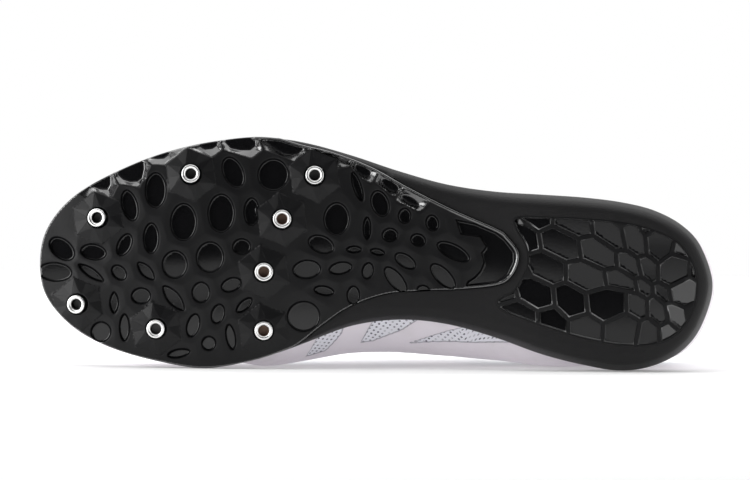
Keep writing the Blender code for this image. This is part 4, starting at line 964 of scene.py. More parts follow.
def boss_height(points):
    """Height of the bosses over the crest surface, and the distance outside the nearest one."""
    height = np.full(len(points), -CELL_REACH)
    outside = np.full(len(points), CELL_REACH)
    plane = boss_plane()
    step = 2 * math.pi / BOSS_ARMS
    fall = (BOSS_HEIGHT - BOSS_TIP_HEIGHT) / (BOSS_TIP - BOSS_LAND)
    for x, y in zip(*SOCKETS.values()):
        away = points - np.array([x, y])
        radius = np.linalg.norm(away, axis=1)
        turn = np.arctan2(away[:, 1], away[:, 0]) - math.radians(BOSS_TURN)
        arm = np.abs((turn + step / 2) % step - step / 2)
        inside = BOSS_FLAT - radius * np.cos(step / 2 - arm)
        along = radius * np.cos(arm)
        facet = plane[0] * along + plane[1] * radius * np.sin(arm) + plane[2]
        ridge = BOSS_HEIGHT - fall * (along - BOSS_LAND)
        top = np.minimum(np.minimum(facet, ridge), BOSS_HEIGHT)
        height = np.maximum(height, top - BOSS_SKIRT * np.maximum(-inside, 0.0))
        outside = np.minimum(outside, np.maximum(-inside, 0.0))
    return height, outside


def cell_relief(points):
    """Recess share at each point, and the height of the webs that dish down to the recesses.

    A web falls from the crest line, half way between the two nearest recesses, to the nearest one.
    """
    share = np.zeros(len(points))
    first = np.full(len(points), CELL_REACH)
    second = np.full(len(points), CELL_REACH)
    drop = np.full(len(points), WEB_DROP)
    for number, loop in enumerate(cell_loops()):
        near = near_loop(points, loop)
        inside, sunk = sunk_share(points[near], loop, CELL_LIP, CELL_FOOT, FLOOR_SHIFT, FLOOR_RING)
        share[near] = np.maximum(share[near], sunk)
        gap = np.maximum(-inside, 0.0)
        second[near] = np.minimum(second[near], np.maximum(first[near], gap))
        closer = near[gap < first[near]]
        drop[closer] = EDGE_DROP if at_edge(number) else WEB_DROP
        first[near] = np.minimum(first[near], gap)
    crest = np.minimum(0.5 * (first + second), WEB_REACH)
    rise = np.clip(first / np.maximum(crest, TINY), 0.0, 1.0)
    return share, WEB_CAP - drop * (1.0 - rise)


def plate_shape(points):
    """Recess share, height of the land over the crest surface, and height of the tread side."""
    boss, outside = boss_height(points)
    share, web = cell_relief(points)
    edge = edge_depth(points, plate_outline())
    clear = ease(outside, 0.0, CELL_FOOT)
    rim = (1.0 - ease(edge, *PLATE_RIM)) * has_rim(points)
    share = share * clear * (1.0 - rim)
    land = np.maximum(boss, web * (1.0 - rim) + PLATE_BEAD * rim)
    corner = PLATE_EDGE_ROUND * (1.0 - np.sqrt(np.clip(edge / PLATE_EDGE_ROUND, 0.0, 1.0)))
    return share, land, bottom(points) - land * (1.0 - share) + CELL_DEPTH * share + corner


def has_rim(points):
    """Where the plate's edge keeps a raised rim: the lateral edge behind the toes, and the rear end."""
    x = points[:, 0]
    lateral = (x > PLATE_RIM_START) & (points[:, 1] < sole_middle(x))
    return (lateral | (x > PLATE_RIM_REAR)).astype(float)


def plate_under(points):
    """Height of the plate's tread side."""
    return plate_shape(points)[2]


def plate_mark(points):
    """Look of the plate by place.

    1 for glossy recess floors, 2 for edge facets and the rim with painted highlight, 3 for recess walls
    with painted shade.
    """
    share, land, _ = plate_shape(points)
    edge = edge_depth(points, plate_outline())
    rim = (edge < PLATE_RIM[1]) & (has_rim(points) > 0.0)
    # Recess walls get painted shade; edge facets, the rim and the rounded edge get painted highlight
    look = np.where(share > WALL_SHARE, 3, 0)
    look = np.where((land < FACET_LEVEL) | rim | (edge < PLATE_EDGE_ROUND), 2, look)
    return np.where((share > FLOOR_SHARE) & ~rim, 1, look)


def plate_over(points):
    """Height of the plate's inner side."""
    return bottom(points) + PLATE_THICK


def plate_rings(rim):
    """Ring at the top of the plate's side, drawn in by its draft."""
    return [raised(inset_loop(rim, PLATE_SIDE_DRAFT), plate_over)]


SOCKET_SPOTS = np.column_stack([SOCKETS["along"], SOCKETS["across"]])


def boss_edge(edge):
    """Whether an edge is a crease of a boss."""
    middle = (edge.verts[0].co + edge.verts[1].co) / 2
    near = np.linalg.norm(SOCKET_SPOTS - np.array(middle.xy), axis=1).min() < BOSS_TIP + BOSS_SLACK
    return near and len(edge.link_faces) == 2 and edge.calc_face_angle(0.0) > BOSS_SHARP


def plate_spots(outline):
    """Plan points of the plate's grid, finer along the lateral edge and clear of the recess rims."""
    coarse = hex_spots(outline, PLATE_MARGINS[0], PLATE_PITCH)
    fine = hex_spots(outline, PLATE_MARGINS[1], PLATE_FINE_PITCH)
    coarse = coarse[lateral_gap(coarse) > PLATE_FINE_WIDTH]
    fine = fine[lateral_gap(fine) <= PLATE_FINE_WIDTH]
    return clear_of(np.vstack([coarse, fine]), cell_loops(), CELL_CLEAR)


def lateral_gap(points):
    """Distance of plan points from the sole's lateral edge, across the shoe."""
    return points[:, 1] - loop_edge(SOLE_FINE, LATERAL, points[:, 0])


def make_plate(*looks):
    """Spike plate with glossy recesses, faceted bosses and socket wells."""
    outline = plate_outline()
    links = []
    for loop in cell_loops():
        for depth in CELL_RINGS:
            links += inner_links(inset_loop(loop, depth), outline)
        floor = inset_loop(loop, FLOOR_RING) + np.array(FLOOR_SHIFT)
        links += [pair for pair in inner_links(floor, outline)
                  if depth_inside(np.array(pair), loop).min() > FLOOR_CLEAR]
    wells = []
    for x, y in zip(*SOCKETS.values()):
        tips, lines = boss_lines(x, y)
        for line in lines:
            if depth_inside(np.array(line), outline).min() > LINK_MARGIN:
                links.append(line)
        links += inner_links(dense_loop(tips, BOSS_TIP / BOSS_SIDE_STEPS), outline)
        land = oval(x, y, BOSS_LAND, BOSS_LAND, BOSS_TURN, 2.0, WELL_SIDES)
        links += inner_links(land, outline)
        well = oval(x, y, WELL_RADIUS, WELL_RADIUS, BOSS_TURN, 2.0, WELL_SIDES)
        wells.append((well, bottom_normal(x, y) * WELL_DEPTH))
    spots = plate_spots(outline)
    for edge_inset in PLATE_EDGE_LINES:
        links += inner_links(inset_loop(outline, edge_inset), outline, EDGE_LINK_MARGIN)
    plate = slab("spike_plate_skin", looks, outline, plate_under, plate_over, spots,
                 links, wells, plate_rings, plate_mark, boss_edge)
    wear(plate, "plate", "spike_plate")


def make_socket(number, x, y, rim_look, bore_look):
    """Metal spike socket: a turned bush with a rounded lip and a threaded bore, rusty in some sockets and
    painted near black as shade in the others.
    """
    profile = list(SOCKET_RIM)
    depth = profile[-1][1]
    for _ in range(SOCKET_THREADS):
        for radius, share in zip(SOCKET_THREAD, SOCKET_THREAD_TURNS):
            profile.append((radius, depth + share * SOCKET_THREAD_PITCH))
        depth += SOCKET_THREAD_PITCH
    profile += [(SOCKET_THREAD[-1], SOCKET_FLOOR), (0.0, SOCKET_FLOOR + SOCKET_DIMPLE)]
    angle = np.linspace(0.0, 2 * math.pi, SOCKET_SIDES, endpoint=False)
    axis = bottom_normal(x, y)
    lead = BOSS_HEIGHT + SOCKET_LENGTH + GAP - WELL_DEPTH
    seat = Vector((x, y, float(bottom(np.array([(x, y)]))[0]))) - axis * lead
    turn = np.array(axis.to_track_quat("Z", "Y").to_matrix())
    rings = []
    for radius, height in profile:
        flat = np.column_stack([np.cos(angle), np.sin(angle)]) * radius
        ring = np.column_stack([flat, np.full(SOCKET_SIDES, height)])
        rings.append(ring @ turn.T + np.array(seat))
    patches = []
    for k, (low, high) in enumerate(zip(rings, rings[1:])):
        patches.append((*strip(low, high), int(k >= len(SOCKET_RIM) - 1)))
    socket = make_object(f"socket_bush_{number}", patches, [rim_look, bore_look], None, crisp_edge)
    wear(socket, "socket", f"spike_socket_{number}")


def crisp_edge(edge):
    """Whether an edge turns sharply."""
    return len(edge.link_faces) == 2 and edge.calc_face_angle(0.0) > CRISP_TURN


# Heel plate

def clip_half(loop, middle, way):
    """Part of a loop on the near side of a line through a point, square to a direction."""
    kept = []
    for start, end in zip(loop, np.roll(loop, -1, axis=0)):
        a = np.dot(start - middle, way)
        b = np.dot(end - middle, way)
        if a <= 0.0:
            kept.append(start)
        if (a < 0.0 < b) or (b < 0.0 < a):
            kept.append(start + (end - start) * a / (a - b))
    return np.array(kept).reshape(-1, 2)


def clip_inside(loop, corners, distance):
    """Part of a loop inside a convex loop whose sides are moved inwards."""
    sign = loop_sign(corners)
    result = loop
    for start, end in zip(corners, np.roll(corners, -1, axis=0)):
        way = np.array([end[1] - start[1], start[0] - end[0]]) * sign
        length = np.linalg.norm(way)
        if length > TINY and len(result) > 2:
            way /= length
            result = clip_half(result, start - way * distance, way)
    return result


def shrink(loop, distance):
    """Convex loop with each side moved inwards."""
    return clip_inside(loop, loop, distance)


@functools.lru_cache(maxsize=None)
def heel_outline(extra=0.0):
    """Heel plate outline in plan, grown outwards by an extra margin."""
    return inset_loop(round_loop(HEEL_OUTLINE, HEEL_POINTS), -extra)


@functools.lru_cache(maxsize=None)
def heel_tiles():
    """Recessed tiles as loops and floor slopes: each within its ribs, less half a rib on each side."""
    edge = inset_loop(heel_outline(), TILE_EDGE)
    tiles = []
    for names, tilt in HEEL_TILES:
        loop = clip_inside(edge, on_plan([RIB_ENDS[name] for name in names.split()]), TILE_RIB)
        if len(loop) > 2 and np.ptp(loop, axis=0).min() > TILE_LEAST:
            tiles.append((loop, math.tan(math.radians(tilt))))
    return tiles


def heel_face(points):
    """Height of the heel plate's rib crests."""
    return bottom(points) + MIDSOLE_SET_BACK - HEEL_PROUD


def heel_mark(points):
    """Share of the tile depth at each point, and the depth and slope of the tilted tile floors."""
    share = np.zeros(len(points))
    slopes = np.zeros(len(points))
    depth = np.full(len(points), TILE_DEPTH)
    for loop, slope in heel_tiles():
        near = near_loop(points, loop)
        inside, sunk = sunk_share(points[near], loop, TILE_LIP, TILE_FOOT, TILE_SHIFT, TILE_RING)
        share[near] = np.maximum(share[near], sunk)
        within = near[inside > TILE_LIP]
        depth[within] += slope * (points[within, 1] - loop[:, 1].mean())
        slopes[within] = slope
    return share, depth, slopes


def heel_looks(points):
    """Look of the heel plate by place: 1 for glossy tile floors, 2 for walls with painted highlight, 3 for
    tilted floors with painted light.
    """
    share, _, slopes = heel_mark(points)
    # Floors tilted past the limit get painted light
    floors = np.where(slopes > math.tan(math.radians(PAINTED_LIGHT_TILT)), 3, 1)
    return np.where(share > FLOOR_SHARE, floors, np.where(share > WALL_SHARE, 2, 0))


def heel_under(points):
    """Height of the heel plate's tread side."""
    edge = edge_depth(points, heel_outline())
    corner = HEEL_ROUND_EDGE * (1.0 - ease(edge, 0.0, HEEL_ROUND_WIDTH))
    share, depth, _ = heel_mark(points)
    return heel_face(points) + depth * share + corner


def heel_over(points):
    """Height of the heel plate's inner side."""
    return heel_face(points) + HEEL_THICK


def dense_loop(loop, step):
    """Loop with its straight sides divided into short steps, corners kept."""
    rows = []
    for start, end in zip(loop, np.roll(loop, -1, axis=0)):
        count = max(1, int(np.linalg.norm(end - start) / step))
        rows += [start + (end - start) * k / count for k in range(count)]
    return np.array(rows)


def make_heel_plate(*looks):
    """Heel plate with its recessed tiles."""
    outline = heel_outline()
    links = []
    for tile, _ in heel_tiles():
        for depth in TILE_RINGS:
            ring = shrink(tile, depth)
            if len(ring) > 2:
                links += inner_links(dense_loop(ring, HEEL_PITCH), outline, HEEL_LINK_MARGIN)
    for depth in PLATE_EDGE_LINES:
        links += inner_links(inset_loop(outline, depth), outline, EDGE_LINK_MARGIN)
    spots = hex_spots(outline, HEEL_MARGIN, HEEL_PITCH)
    spots = clear_of(spots, [tile for tile, _ in heel_tiles()], TILE_CLEAR)
    panel = slab("heel_plate_skin", looks, outline, heel_under, heel_over, spots, links,
                 mark=heel_looks, sharp=crisp_edge)
    wear(panel, "heel_plate", "heel_plate")


# Midsole and insole

def midsole_top(points):
    """Height of the midsole's top."""
    return smooth(MIDSOLE_TOP, "height", points[:, 0])


def midsole_under(points):
    """Height of the midsole's bottom, with the pockets for both plates."""
    face = bottom(points) + MIDSOLE_SET_BACK
    draft = POCKET_WALL[1] - POCKET_WALL[0]
    plate = np.clip(edge_depth(points, plate_outline(POCKET_WALL[1])) / draft, 0.0, 1.0)
    heel_draft = HEEL_WALL[1] - HEEL_WALL[0]
    heel = np.clip(edge_depth(points, heel_outline(HEEL_WALL[1])) / heel_draft, 0.0, 1.0)
    plate = np.where(points[:, 0] < PLATE_FRONT_END, 1.0, plate)
    deep = bottom(points) + PLATE_THICK + GAP
    return face + (deep - face) * plate + (heel_over(points) + GAP - face) * heel


def midsole_rings(rim):
    """Rings from the bottom edge up the flared side to the top edge."""
    out = -inward(rim)
    flare = smooth(MIDSOLE_FLARE, "inset", rim[:, 0])
    rear = ease(rim[:, 0], *FOREFOOT_END)
    low = midsole_under(rim)
    rings = []
    for rise in np.linspace(0.0, 1.0, SIDE_RING_COUNT + 1)[1:]:
        share = value_at(SIDE_RINGS, "flare_share", rise)
        toe_out = value_at(SIDE_RINGS, "toe_out", rise)
        plan = rim + out * (toe_out + (flare * share - toe_out) * rear)[:, None]
        rings.append(np.column_stack([plan, low + (midsole_top(plan) - low) * rise]))
    return rings


def make_midsole(look):
    """Foam midsole with flared sides and pockets for both plates."""
    sole = even_loop(SOLE_FINE, SOLE_POINTS)
    outline = inset_loop(sole, smooth(MIDSOLE_FLARE, "inset", sole[:, 0]))
    links = []
    for grow in POCKET_WALL:
        pocket = plate_outline(grow)
        rear = pocket[pocket[:, 0] > PLATE_FRONT_END]
        links += [pair for pair in inner_links(rear, outline, POCKET_MARGIN)
                  if np.linalg.norm(pair[1] - pair[0]) < COARSE_PITCH]
    for grow in HEEL_WALL:
        links += inner_links(heel_outline(grow), outline, HEEL_LINK_MARGIN)
    spots = hex_spots(outline, MIDSOLE_MARGIN, MIDSOLE_PITCH)
    for pocket in (plate_outline(), heel_outline()):
        spots = spots[np.abs(edge_depth(spots, pocket)) > MIDSOLE_PITCH / 2]
    foam = slab("midsole_foam", [look], outline, midsole_under, midsole_top, spots, links,
                rings=midsole_rings, sharp=crisp_edge)
    wear(foam, "midsole", "midsole")


@functools.lru_cache(maxsize=None)
def insole_outline():
    """Insole outline in plan."""
    return inset_loop(even_loop(SOLE_FINE, INSOLE_POINTS), INSOLE_INSET)


def insole_under(points):
    """Height of the insole's bottom."""
    return midsole_top(points) + GAP


def insole_over(points):
    """Height of the insole's top, rounded down at its edge."""
    inner = ease(edge_depth(points, insole_outline()), *INSOLE_EDGE)
    share = INSOLE_EDGE_SHARE + (1.0 - INSOLE_EDGE_SHARE) * inner
    return insole_under(points) + INSOLE_THICK * share


def make_insole(look):
    """Footbed inside the upper."""
    spots = hex_spots(insole_outline(), INSOLE_MARGIN, COARSE_PITCH)
    bed = slab("footbed", [look], insole_outline(), insole_under, insole_over, spots)
    wear(bed, "insole", "insole")


# Upper

def end_round(along, end, radius):
    """0 at an end of the last, rising to 1 on a quarter circle of the given radius."""
    share = np.clip(1.0 - np.abs(along - end) / radius, 0.0, 1.0)
    return math.sqrt(1.0 - share * share)


@functools.lru_cache(maxsize=None)
def section(side, along):
    """Section of the last at one place: feather edge, widest point and ridge, each (across, height)."""
    toe = end_round(along, TOE_END, TOE_ROUND)
    heel = end_round(along, HEEL_END, HEEL_ROUND)
    column = "medial_out" if side == MEDIAL else "lateral_out"
    low = float(midsole_top(np.array([(along, 0.0)]))[0]) + GAP
    edge = float(loop_edge(FEATHER_FINE, side, along))
    wide = edge + side * value_at(LAST, column, along) * toe * heel
    ridge = value_at(LAST, "ridge", along)
    top = low + (value_at(LAST, "ridge_height", along) - low) * toe
    widest = low + value_at(LAST, "widest", along) * toe
    return (edge, low), (wide, widest), (ridge, top)


def heel_back(along, up):
    """How far the heel curve moves points back."""
    share = float(ease(along, *HEEL_CURVE_SPAN))
    return share * np.interp(up, HEEL_CURVE["up"], HEEL_CURVE["back"])


def crown_points(side, along, angles):
    """Points on the last's upper arc, from its widest place at 0 to the ridge at 90 degrees."""
    foot, wide, ridge = section(side, along)
    power = 2.0 / value_at(LAST, "power", along)
    across = ridge[0] + (wide[0] - ridge[0]) * np.maximum(np.cos(angles), 0.0) ** power
    height = wide[1] + (ridge[1] - wide[1]) * np.sin(angles) ** power
    return np.column_stack([along + heel_back(along, height - foot[1]), across, height])


def crown_point(side, along, angle):
    """One point on the last's upper arc."""
    return crown_points(side, along, np.array([angle]))[0]


def open_angle(side, along):
    """Angle on the upper arc where the throat or collar ends the wall."""
    _, wide, ridge = section(side, along)
    power = value_at(LAST, "power", along) / 2.0
    if along <= THROAT_START:
        return math.pi / 2
    if along <= COLLAR_START:
        share = value_at(THROAT, "half_gap", along) / abs(wide[0] - ridge[0])
        return math.acos(min(share, 1.0) ** power)
    share = (value_at(COLLAR, "height", along) - wide[1]) / (ridge[1] - wide[1])
    return math.asin(min(max(share, 0.0), 1.0) ** power)


def wall_section(side, along):
    """Evenly spaced points up the wall from feather edge to its open edge."""
    foot, wide, _ = section(side, along)
    t = np.linspace(0.0, 1.0, SECTION_POINTS // 3, endpoint=False)
    across = wide[0] - (wide[0] - foot[0]) * (1.0 - t) ** 2
    height = foot[1] + (wide[1] - foot[1]) * t
    lower = np.column_stack([along + heel_back(along, height - foot[1]), across, height])
    upper = crown_points(side, along, np.linspace(0.0, open_angle(side, along), SECTION_POINTS))
    points = np.vstack([lower, upper])
    run = path_run(points)
    at = np.linspace(0.0, max(run[-1], FAINT), SHARE_SAMPLES)
    return np.column_stack([np.interp(at, run, points[:, k]) for k in range(3)]), run[-1]


@functools.lru_cache(maxsize=None)
def wall_table(side):
    """Sections of one wall at close places along the shoe."""
    ends = END_STRETCH * np.linspace(0.0, 1.0, END_SAMPLES, endpoint=False) ** 2
    middle = np.arange(TOE_END + END_STRETCH, HEEL_END - END_STRETCH, 1.0)
    alongs = np.concatenate([TOE_END + ends, middle, HEEL_END - ends[::-1]])
    rows = [wall_section(side, float(a)) for a in alongs]
    return alongs, np.array([r[0] for r in rows]), np.array([r[1] for r in rows])


def wall_points(side, along, share):
    """Points on the last's surface at places along the shoe and shares of the way up the wall."""
    alongs, points, _ = wall_table(side)
    at = np.clip(along, alongs[0], alongs[-1])
    i = np.clip(np.searchsorted(alongs, at) - 1, 0, len(alongs) - 2)
    s = ((at - alongs[i]) / (alongs[i + 1] - alongs[i]))[..., None]
    rise = np.clip(share, 0.0, 1.0) * (SHARE_SAMPLES - 1)
    j = np.clip(rise.astype(int), 0, SHARE_SAMPLES - 2)
    t = (rise - j)[..., None]
    low = points[i, j] * (1 - t) + points[i, j + 1] * t
    high = points[i + 1, j] * (1 - t) + points[i + 1, j + 1] * t
    return low * (1 - s) + high * s


def wall_normals(side, along, share):
    """Outward normals of the last's surface."""
    reach = 0.6
    lift = 0.02
    ahead = wall_points(side, along + reach, share) - wall_points(side, along - reach, share)
    up = wall_points(side, along, share + lift) - wall_points(side, along, share - lift)
    normal = np.cross(up, ahead) * side
    heel = along > HEEL_END - END_SLACK
    normal[heel] = normal[heel] * np.array([1.0, 0.0, 1.0])
    normal[along < TOE_END + END_SLACK] = np.array(TOE_NORMAL)
    foot = share <= 0.0
    normal[foot] = normal[foot] * np.array([1.0, 1.0, 0.0])
    return unit(normal)


def slanted(station, share):
    """Place along the shoe of a station at a share of the wall's height: saddles lean forwards."""
    rise = ease(station, SLANT_SPAN[0] - SLANT_EASE[0], SLANT_SPAN[0] + SLANT_EASE[1])
    fall = 1.0 - ease(station, SLANT_SPAN[1] - SLANT_EASE[1], SLANT_SPAN[1] + SLANT_EASE[0])
    return station - SLANT * share * rise * fall


def window_depth(along, up):
    """Distance inside the nearest mesh window low on the wall, positive inside."""
    places = np.column_stack([along.ravel(), up.ravel()])
    depth = np.max([depth_inside(places, np.array(loop, float)) for loop in WINDOWS], axis=0)
    return depth.reshape(along.shape)


def mesh_depth(station, along, up, length):
    """Distance inside the open mesh, positive in mesh and negative under film."""
    toe_end = TOE_FILM[0] + TOE_FILM[1] * (length - up) ** 2
    open_part = np.minimum(up - smooth(FILM_TOP, "up", along), along - toe_end)
    beside_throat = (station > THROAT_START) & (station < COLLAR_START)
    stay = np.where(beside_throat, EYESTAY_EDGE * length - up, END_STRETCH)
    open_part = np.minimum(open_part, stay)
    for start, end in SADDLES:
        open_part = np.minimum(open_part, np.maximum(start - station, station - end))
    return np.maximum(open_part, window_depth(along, up))


def crease_depth(rows, along, up):
    """Soft troughs and ridges at the given places on the wall."""
    total = np.zeros_like(along)
    for place, height, half_length, half_width, turn, depth in rows:
        c = math.cos(math.radians(turn))
        s = math.sin(math.radians(turn))
        run = ((along - place) * c + (up - height) * s) / half_length
        side = ((up - height) * c - (along - place) * s) / half_width
        total -= depth * np.exp(-run * run - side * side)
    return total


def creases(along, up, length):
    """Height of the creases of wear, placed one by one: across the vamp, and on the walls."""
    low = 1.0 - ease(up / np.maximum(length, TINY), *CREASE_FADE)
    return crease_depth(VAMP_CREASES, along, length - up) + low * crease_depth(WALL_CREASES, along, up)


def collar_pad(along, brim):
    """Padding of the collar, by distance below its edge."""
    share = np.clip(brim / COLLAR_PAD_DEPTH, 0.0, 1.0)
    return ease(along, *COLLAR_PAD_SPAN) * np.sin(math.pi * np.sqrt(share)) ** 2


def with_lines(base, lines, half, clear):
    """Even values with a pair of close values at each line, and none crowded beside them."""
    pairs = [line + shift for line in lines for shift in (-half, half)]
    free = [v for v in base if min(abs(v - line) for line in lines) > clear]
    return np.array(sorted(free + pairs))


@functools.lru_cache(maxsize=None)
def upper_lines():
    """Stations along the shoe and shares up the wall of the upper's grid."""
    ends = END_STRETCH * np.linspace(0.0, 1.0, END_STATIONS, endpoint=False) ** 2
    edges = [COLLAR_START]
    for saddle in SADDLES:
        edges += list(saddle)
    middle = np.arange(TOE_END + END_STRETCH, HEEL_END - END_STRETCH, STATION_PITCH)
    front = [v for v in middle if v < THROAT_START - THROAT_CLEAR[0]]
    back = [v for v in middle if v > THROAT_START + THROAT_CLEAR[1]]
    stations = with_lines(front + list(THROAT_STATIONS) + back, edges, STEP_HALF, STATION_CLEAR)
    stations = np.concatenate([TOE_END + ends, stations, HEEL_END - ends[::-1]])
    even = np.linspace(0.0, 1.0, SHARE_STEPS)
    shares = with_lines(even, [EYESTAY_EDGE], SHARE_HALF, SHARE_CLEAR)
    return stations, shares


def heel_wrap(stations, foot):
    """How much longer the way round the heel is than the way straight back, at each station."""
    longer = path_run(foot) - stations
    return np.maximum(longer - np.interp(WRAP_START, stations, longer), 0.0) * (stations > WRAP_START)


def upper_grid(side):
    """Outer and inner points of one side of the upper, with the values its looks need."""
    stations, shares = upper_lines()
    station, share = np.meshgrid(stations, shares, indexing="ij")
    along = slanted(station, share)
    points = wall_points(side, along, share)
    normal = wall_normals(side, along, share)
    closed = (station <= THROAT_START) & (share >= 1.0) & (station > TOE_END + END_SLACK)
    both = unit(normal + wall_normals(-side, along, share))
    normal[closed] = both[closed]
    end = station > HEEL_END - END_SLACK
    normal[end] = wall_normals(MEDIAL, along, share)[end]
    alongs, _, lengths = wall_table(side)
    length = np.interp(along, alongs, lengths)
    up = share * length
    cloth = mesh_depth(station, along, up, length)
    brim = length - up
    pad = collar_pad(along, brim)
    relief = STEP * (1.0 - ease(cloth, -STEP_HALF, STEP_HALF)) + creases(along, up, length)
    outer = points + normal * (relief + COLLAR_PAD[0] * pad)[..., None]
    inner = points - normal * (WALL + COLLAR_PAD[1] * pad)[..., None]
    run = along + heel_wrap(stations, points[:, 0])[:, None]
    places = {"along": along, "up": up, "cloth": cloth, "brim": brim, "across": side * brim, "run": run}
    return outer, inner, places


def lip(outer, inner, first):
    """Half-round lip from the outer to the inner edge of the throat and collar."""
    edge = outer[first:, -1]
    back = inner[first:, -1]
    middle = 0.5 * (edge + back)
    half = 0.5 * np.linalg.norm(edge - back, axis=1, keepdims=True)
    open_share = ease(np.arange(len(edge)), 0.0, LIP_OPENING)[:, None]
    rise = unit(edge - outer[first:, -2]) * half * open_share * LIP_ROUND
    turns = [middle + (edge - middle) * math.cos(t) + rise * math.sin(t) for t in LIP_TURNS]
    return np.stack(turns, axis=1)


def eyelet_places():
    """Place along the throat of each row of eyelets."""
    return np.linspace(*EYELET_SPAN, EYELETS)


def eyelet_point(side, along, lift=0.0):
    """Centre of an eyelet on the eyestay, lifted off the surface, and its normal."""
    alongs, _, lengths = wall_table(side)
    share = np.array([1.0 - EYELET_MARGIN / np.interp(along, alongs, lengths)])
    place = np.array([along])
    normal = wall_normals(side, place, share)[0]
    return wall_points(side, place, share)[0] + normal * lift, normal


def eyelet_pegs():
    """Guide object with a peg through every eyelet."""
    mesh = bmesh.new()
    for side in (MEDIAL, LATERAL):
        for along in eyelet_places():
            centre, normal = eyelet_point(side, along)
            turn = Vector(normal).to_track_quat("Z", "Y").to_matrix().to_4x4()
            place = LYING @ Matrix.Translation(Vector(centre)) @ turn
            bmesh.ops.create_cone(mesh, cap_ends=True, segments=EYELET_SIDES, radius1=EYELET_RADIUS,
                                  radius2=EYELET_RADIUS, depth=EYELET_PEG_WALLS * WALL, matrix=place)
    bmesh.ops.scale(mesh, vec=(MM, MM, MM), verts=mesh.verts)
    return finished("eyelet_pegs", mesh)


def make_upper(film, lining, binding):
    """Hollow upper: both walls, rims at feather edge, throat and collar, and punched eyelets."""
    stations, _ = upper_lines()
    opening = int(np.argmin(np.abs(stations - THROAT_START)))
    patches = []
    values = {key: [] for key in ("along", "up", "cloth", "brim", "across", "run")}
    for side in (MEDIAL, LATERAL):
        outer, inner, places = upper_grid(side)
        foot = np.stack([outer[:, 0], inner[:, 0]], axis=1)
        rim = lip(outer, inner, opening)
        sheets = [(outer, places, 0), (inner, places, 1)]
        sheets.append((foot, {k: np.stack([v[:, 0]] * 2, axis=1) for k, v in places.items()}, 0))
        edge = {k: np.stack([v[opening:, -1]] * len(LIP_TURNS), axis=1) for k, v in places.items()}
        sheets.append((rim, edge, 2))
        for points, marks, slot in sheets:
            patches.append((*grid_patch(points), slot))
            for key, value in marks.items():
                values[key].append(value.ravel())
    upper = make_object("upper_shell", patches, [film, lining, binding], values, crisp_edge)
    pegs = eyelet_pegs()
    cut = upper.modifiers.new("eyelets", "BOOLEAN")
    cut.operation = "DIFFERENCE"
    cut.solver = "EXACT"
    cut.object = pegs
    bpy.context.view_layer.objects.active = upper
    bpy.ops.object.modifier_apply(modifier=cut.name)
    bpy.data.objects.remove(pegs)
    wear(upper, "upper", "upper")


# Tongue and lace

def arch_point(along, across, depth):
    """Point a depth under the last's arc, at a distance from its ridge towards the medial side."""
    side = MEDIAL if across >= 0.0 else LATERAL
    _, wide, ridge = section(side, along)
    power = value_at(LAST, "power", along) / 2.0
    angle = math.acos(min(abs(across) / abs(wide[0] - ridge[0]), 1.0) ** power)
    above = min(angle + ARC_ANGLE_STEP, math.pi / 2)
    ahead = crown_point(side, along + ARC_STEP, angle) - crown_point(side, along - ARC_STEP, angle)
    up = crown_point(side, along, above) - crown_point(side, along, angle - ARC_ANGLE_STEP)
    return crown_point(side, along, angle) - unit(np.cross(up, ahead) * side) * depth


def make_tongue(look):
    """Padded tongue under the throat, thin at its edges."""
    layers = [[], []]
    for along in np.linspace(TONGUE["along"][0], TONGUE["along"][-1], TONGUE_ROWS + 1):
        half = value_at(TONGUE, "half_width", along)
        places = np.linspace(-half, half, TONGUE_COLUMNS + 1)
        ends = min(along - TONGUE["along"][0], TONGUE["along"][-1] - along)
        edge = np.minimum(half - np.abs(places), ends)
        pinch = TONGUE_PINCH * TONGUE_THICK * (1.0 - ease(edge, *TONGUE_ROUND))
        layers[0].append([arch_point(along, y, TONGUE_UNDER + p) for y, p in zip(places, pinch)])
        layers[1].append([arch_point(along, y, TONGUE_UNDER + TONGUE_THICK - p)
                          for y, p in zip(places, pinch)])
    top, under = np.array(layers[0]), np.array(layers[1])
    patches = [grid_patch(top), grid_patch(under)]
    for edge in (np.s_[0, :], np.s_[-1, :], np.s_[:, 0], np.s_[:, -1]):
        patches.append(grid_patch(np.stack([top[edge], under[edge]], axis=1)))
    tongue = make_object("tongue_pad", patches, [look])
    wear(tongue, "tongue", "tongue")


def lace_route(stops, lift):
    """Points of a crossing over the throat, from inside one eyelet to inside another, and its widths."""
    (side, row), (next_side, next_row) = stops
    start, end = eyelet_places()[row], eyelet_places()[next_row]
    route = []
    for t in np.linspace(0.0, 1.0, LACE_STEPS + 1)[1:-1]:
        along = start + (end - start) * t
        half = value_at(THROAT, "half_gap", along) + EYELET_MARGIN * LACE_START_SHARE
        across = half * (side + (next_side - side) * t)
        sink = LACE_SINK * (1.0 - ease(min(t, 1.0 - t), 0.0, LACE_SINK_SHARE))
        route.append(arch_point(along, across, -LACE_OVER - lift + sink))
    dive_in = [eyelet_point(side, start, depth)[0] for depth in LACE_DIVE]
    dive_out = [eyelet_point(next_side, end, depth)[0] for depth in LACE_DIVE]
    widths = [LACE_PINCH] * len(dive_in) + [1.0] * len(route) + [LACE_PINCH] * len(dive_out)
    return np.array(dive_in[::-1] + route + dive_out), np.array(widths)


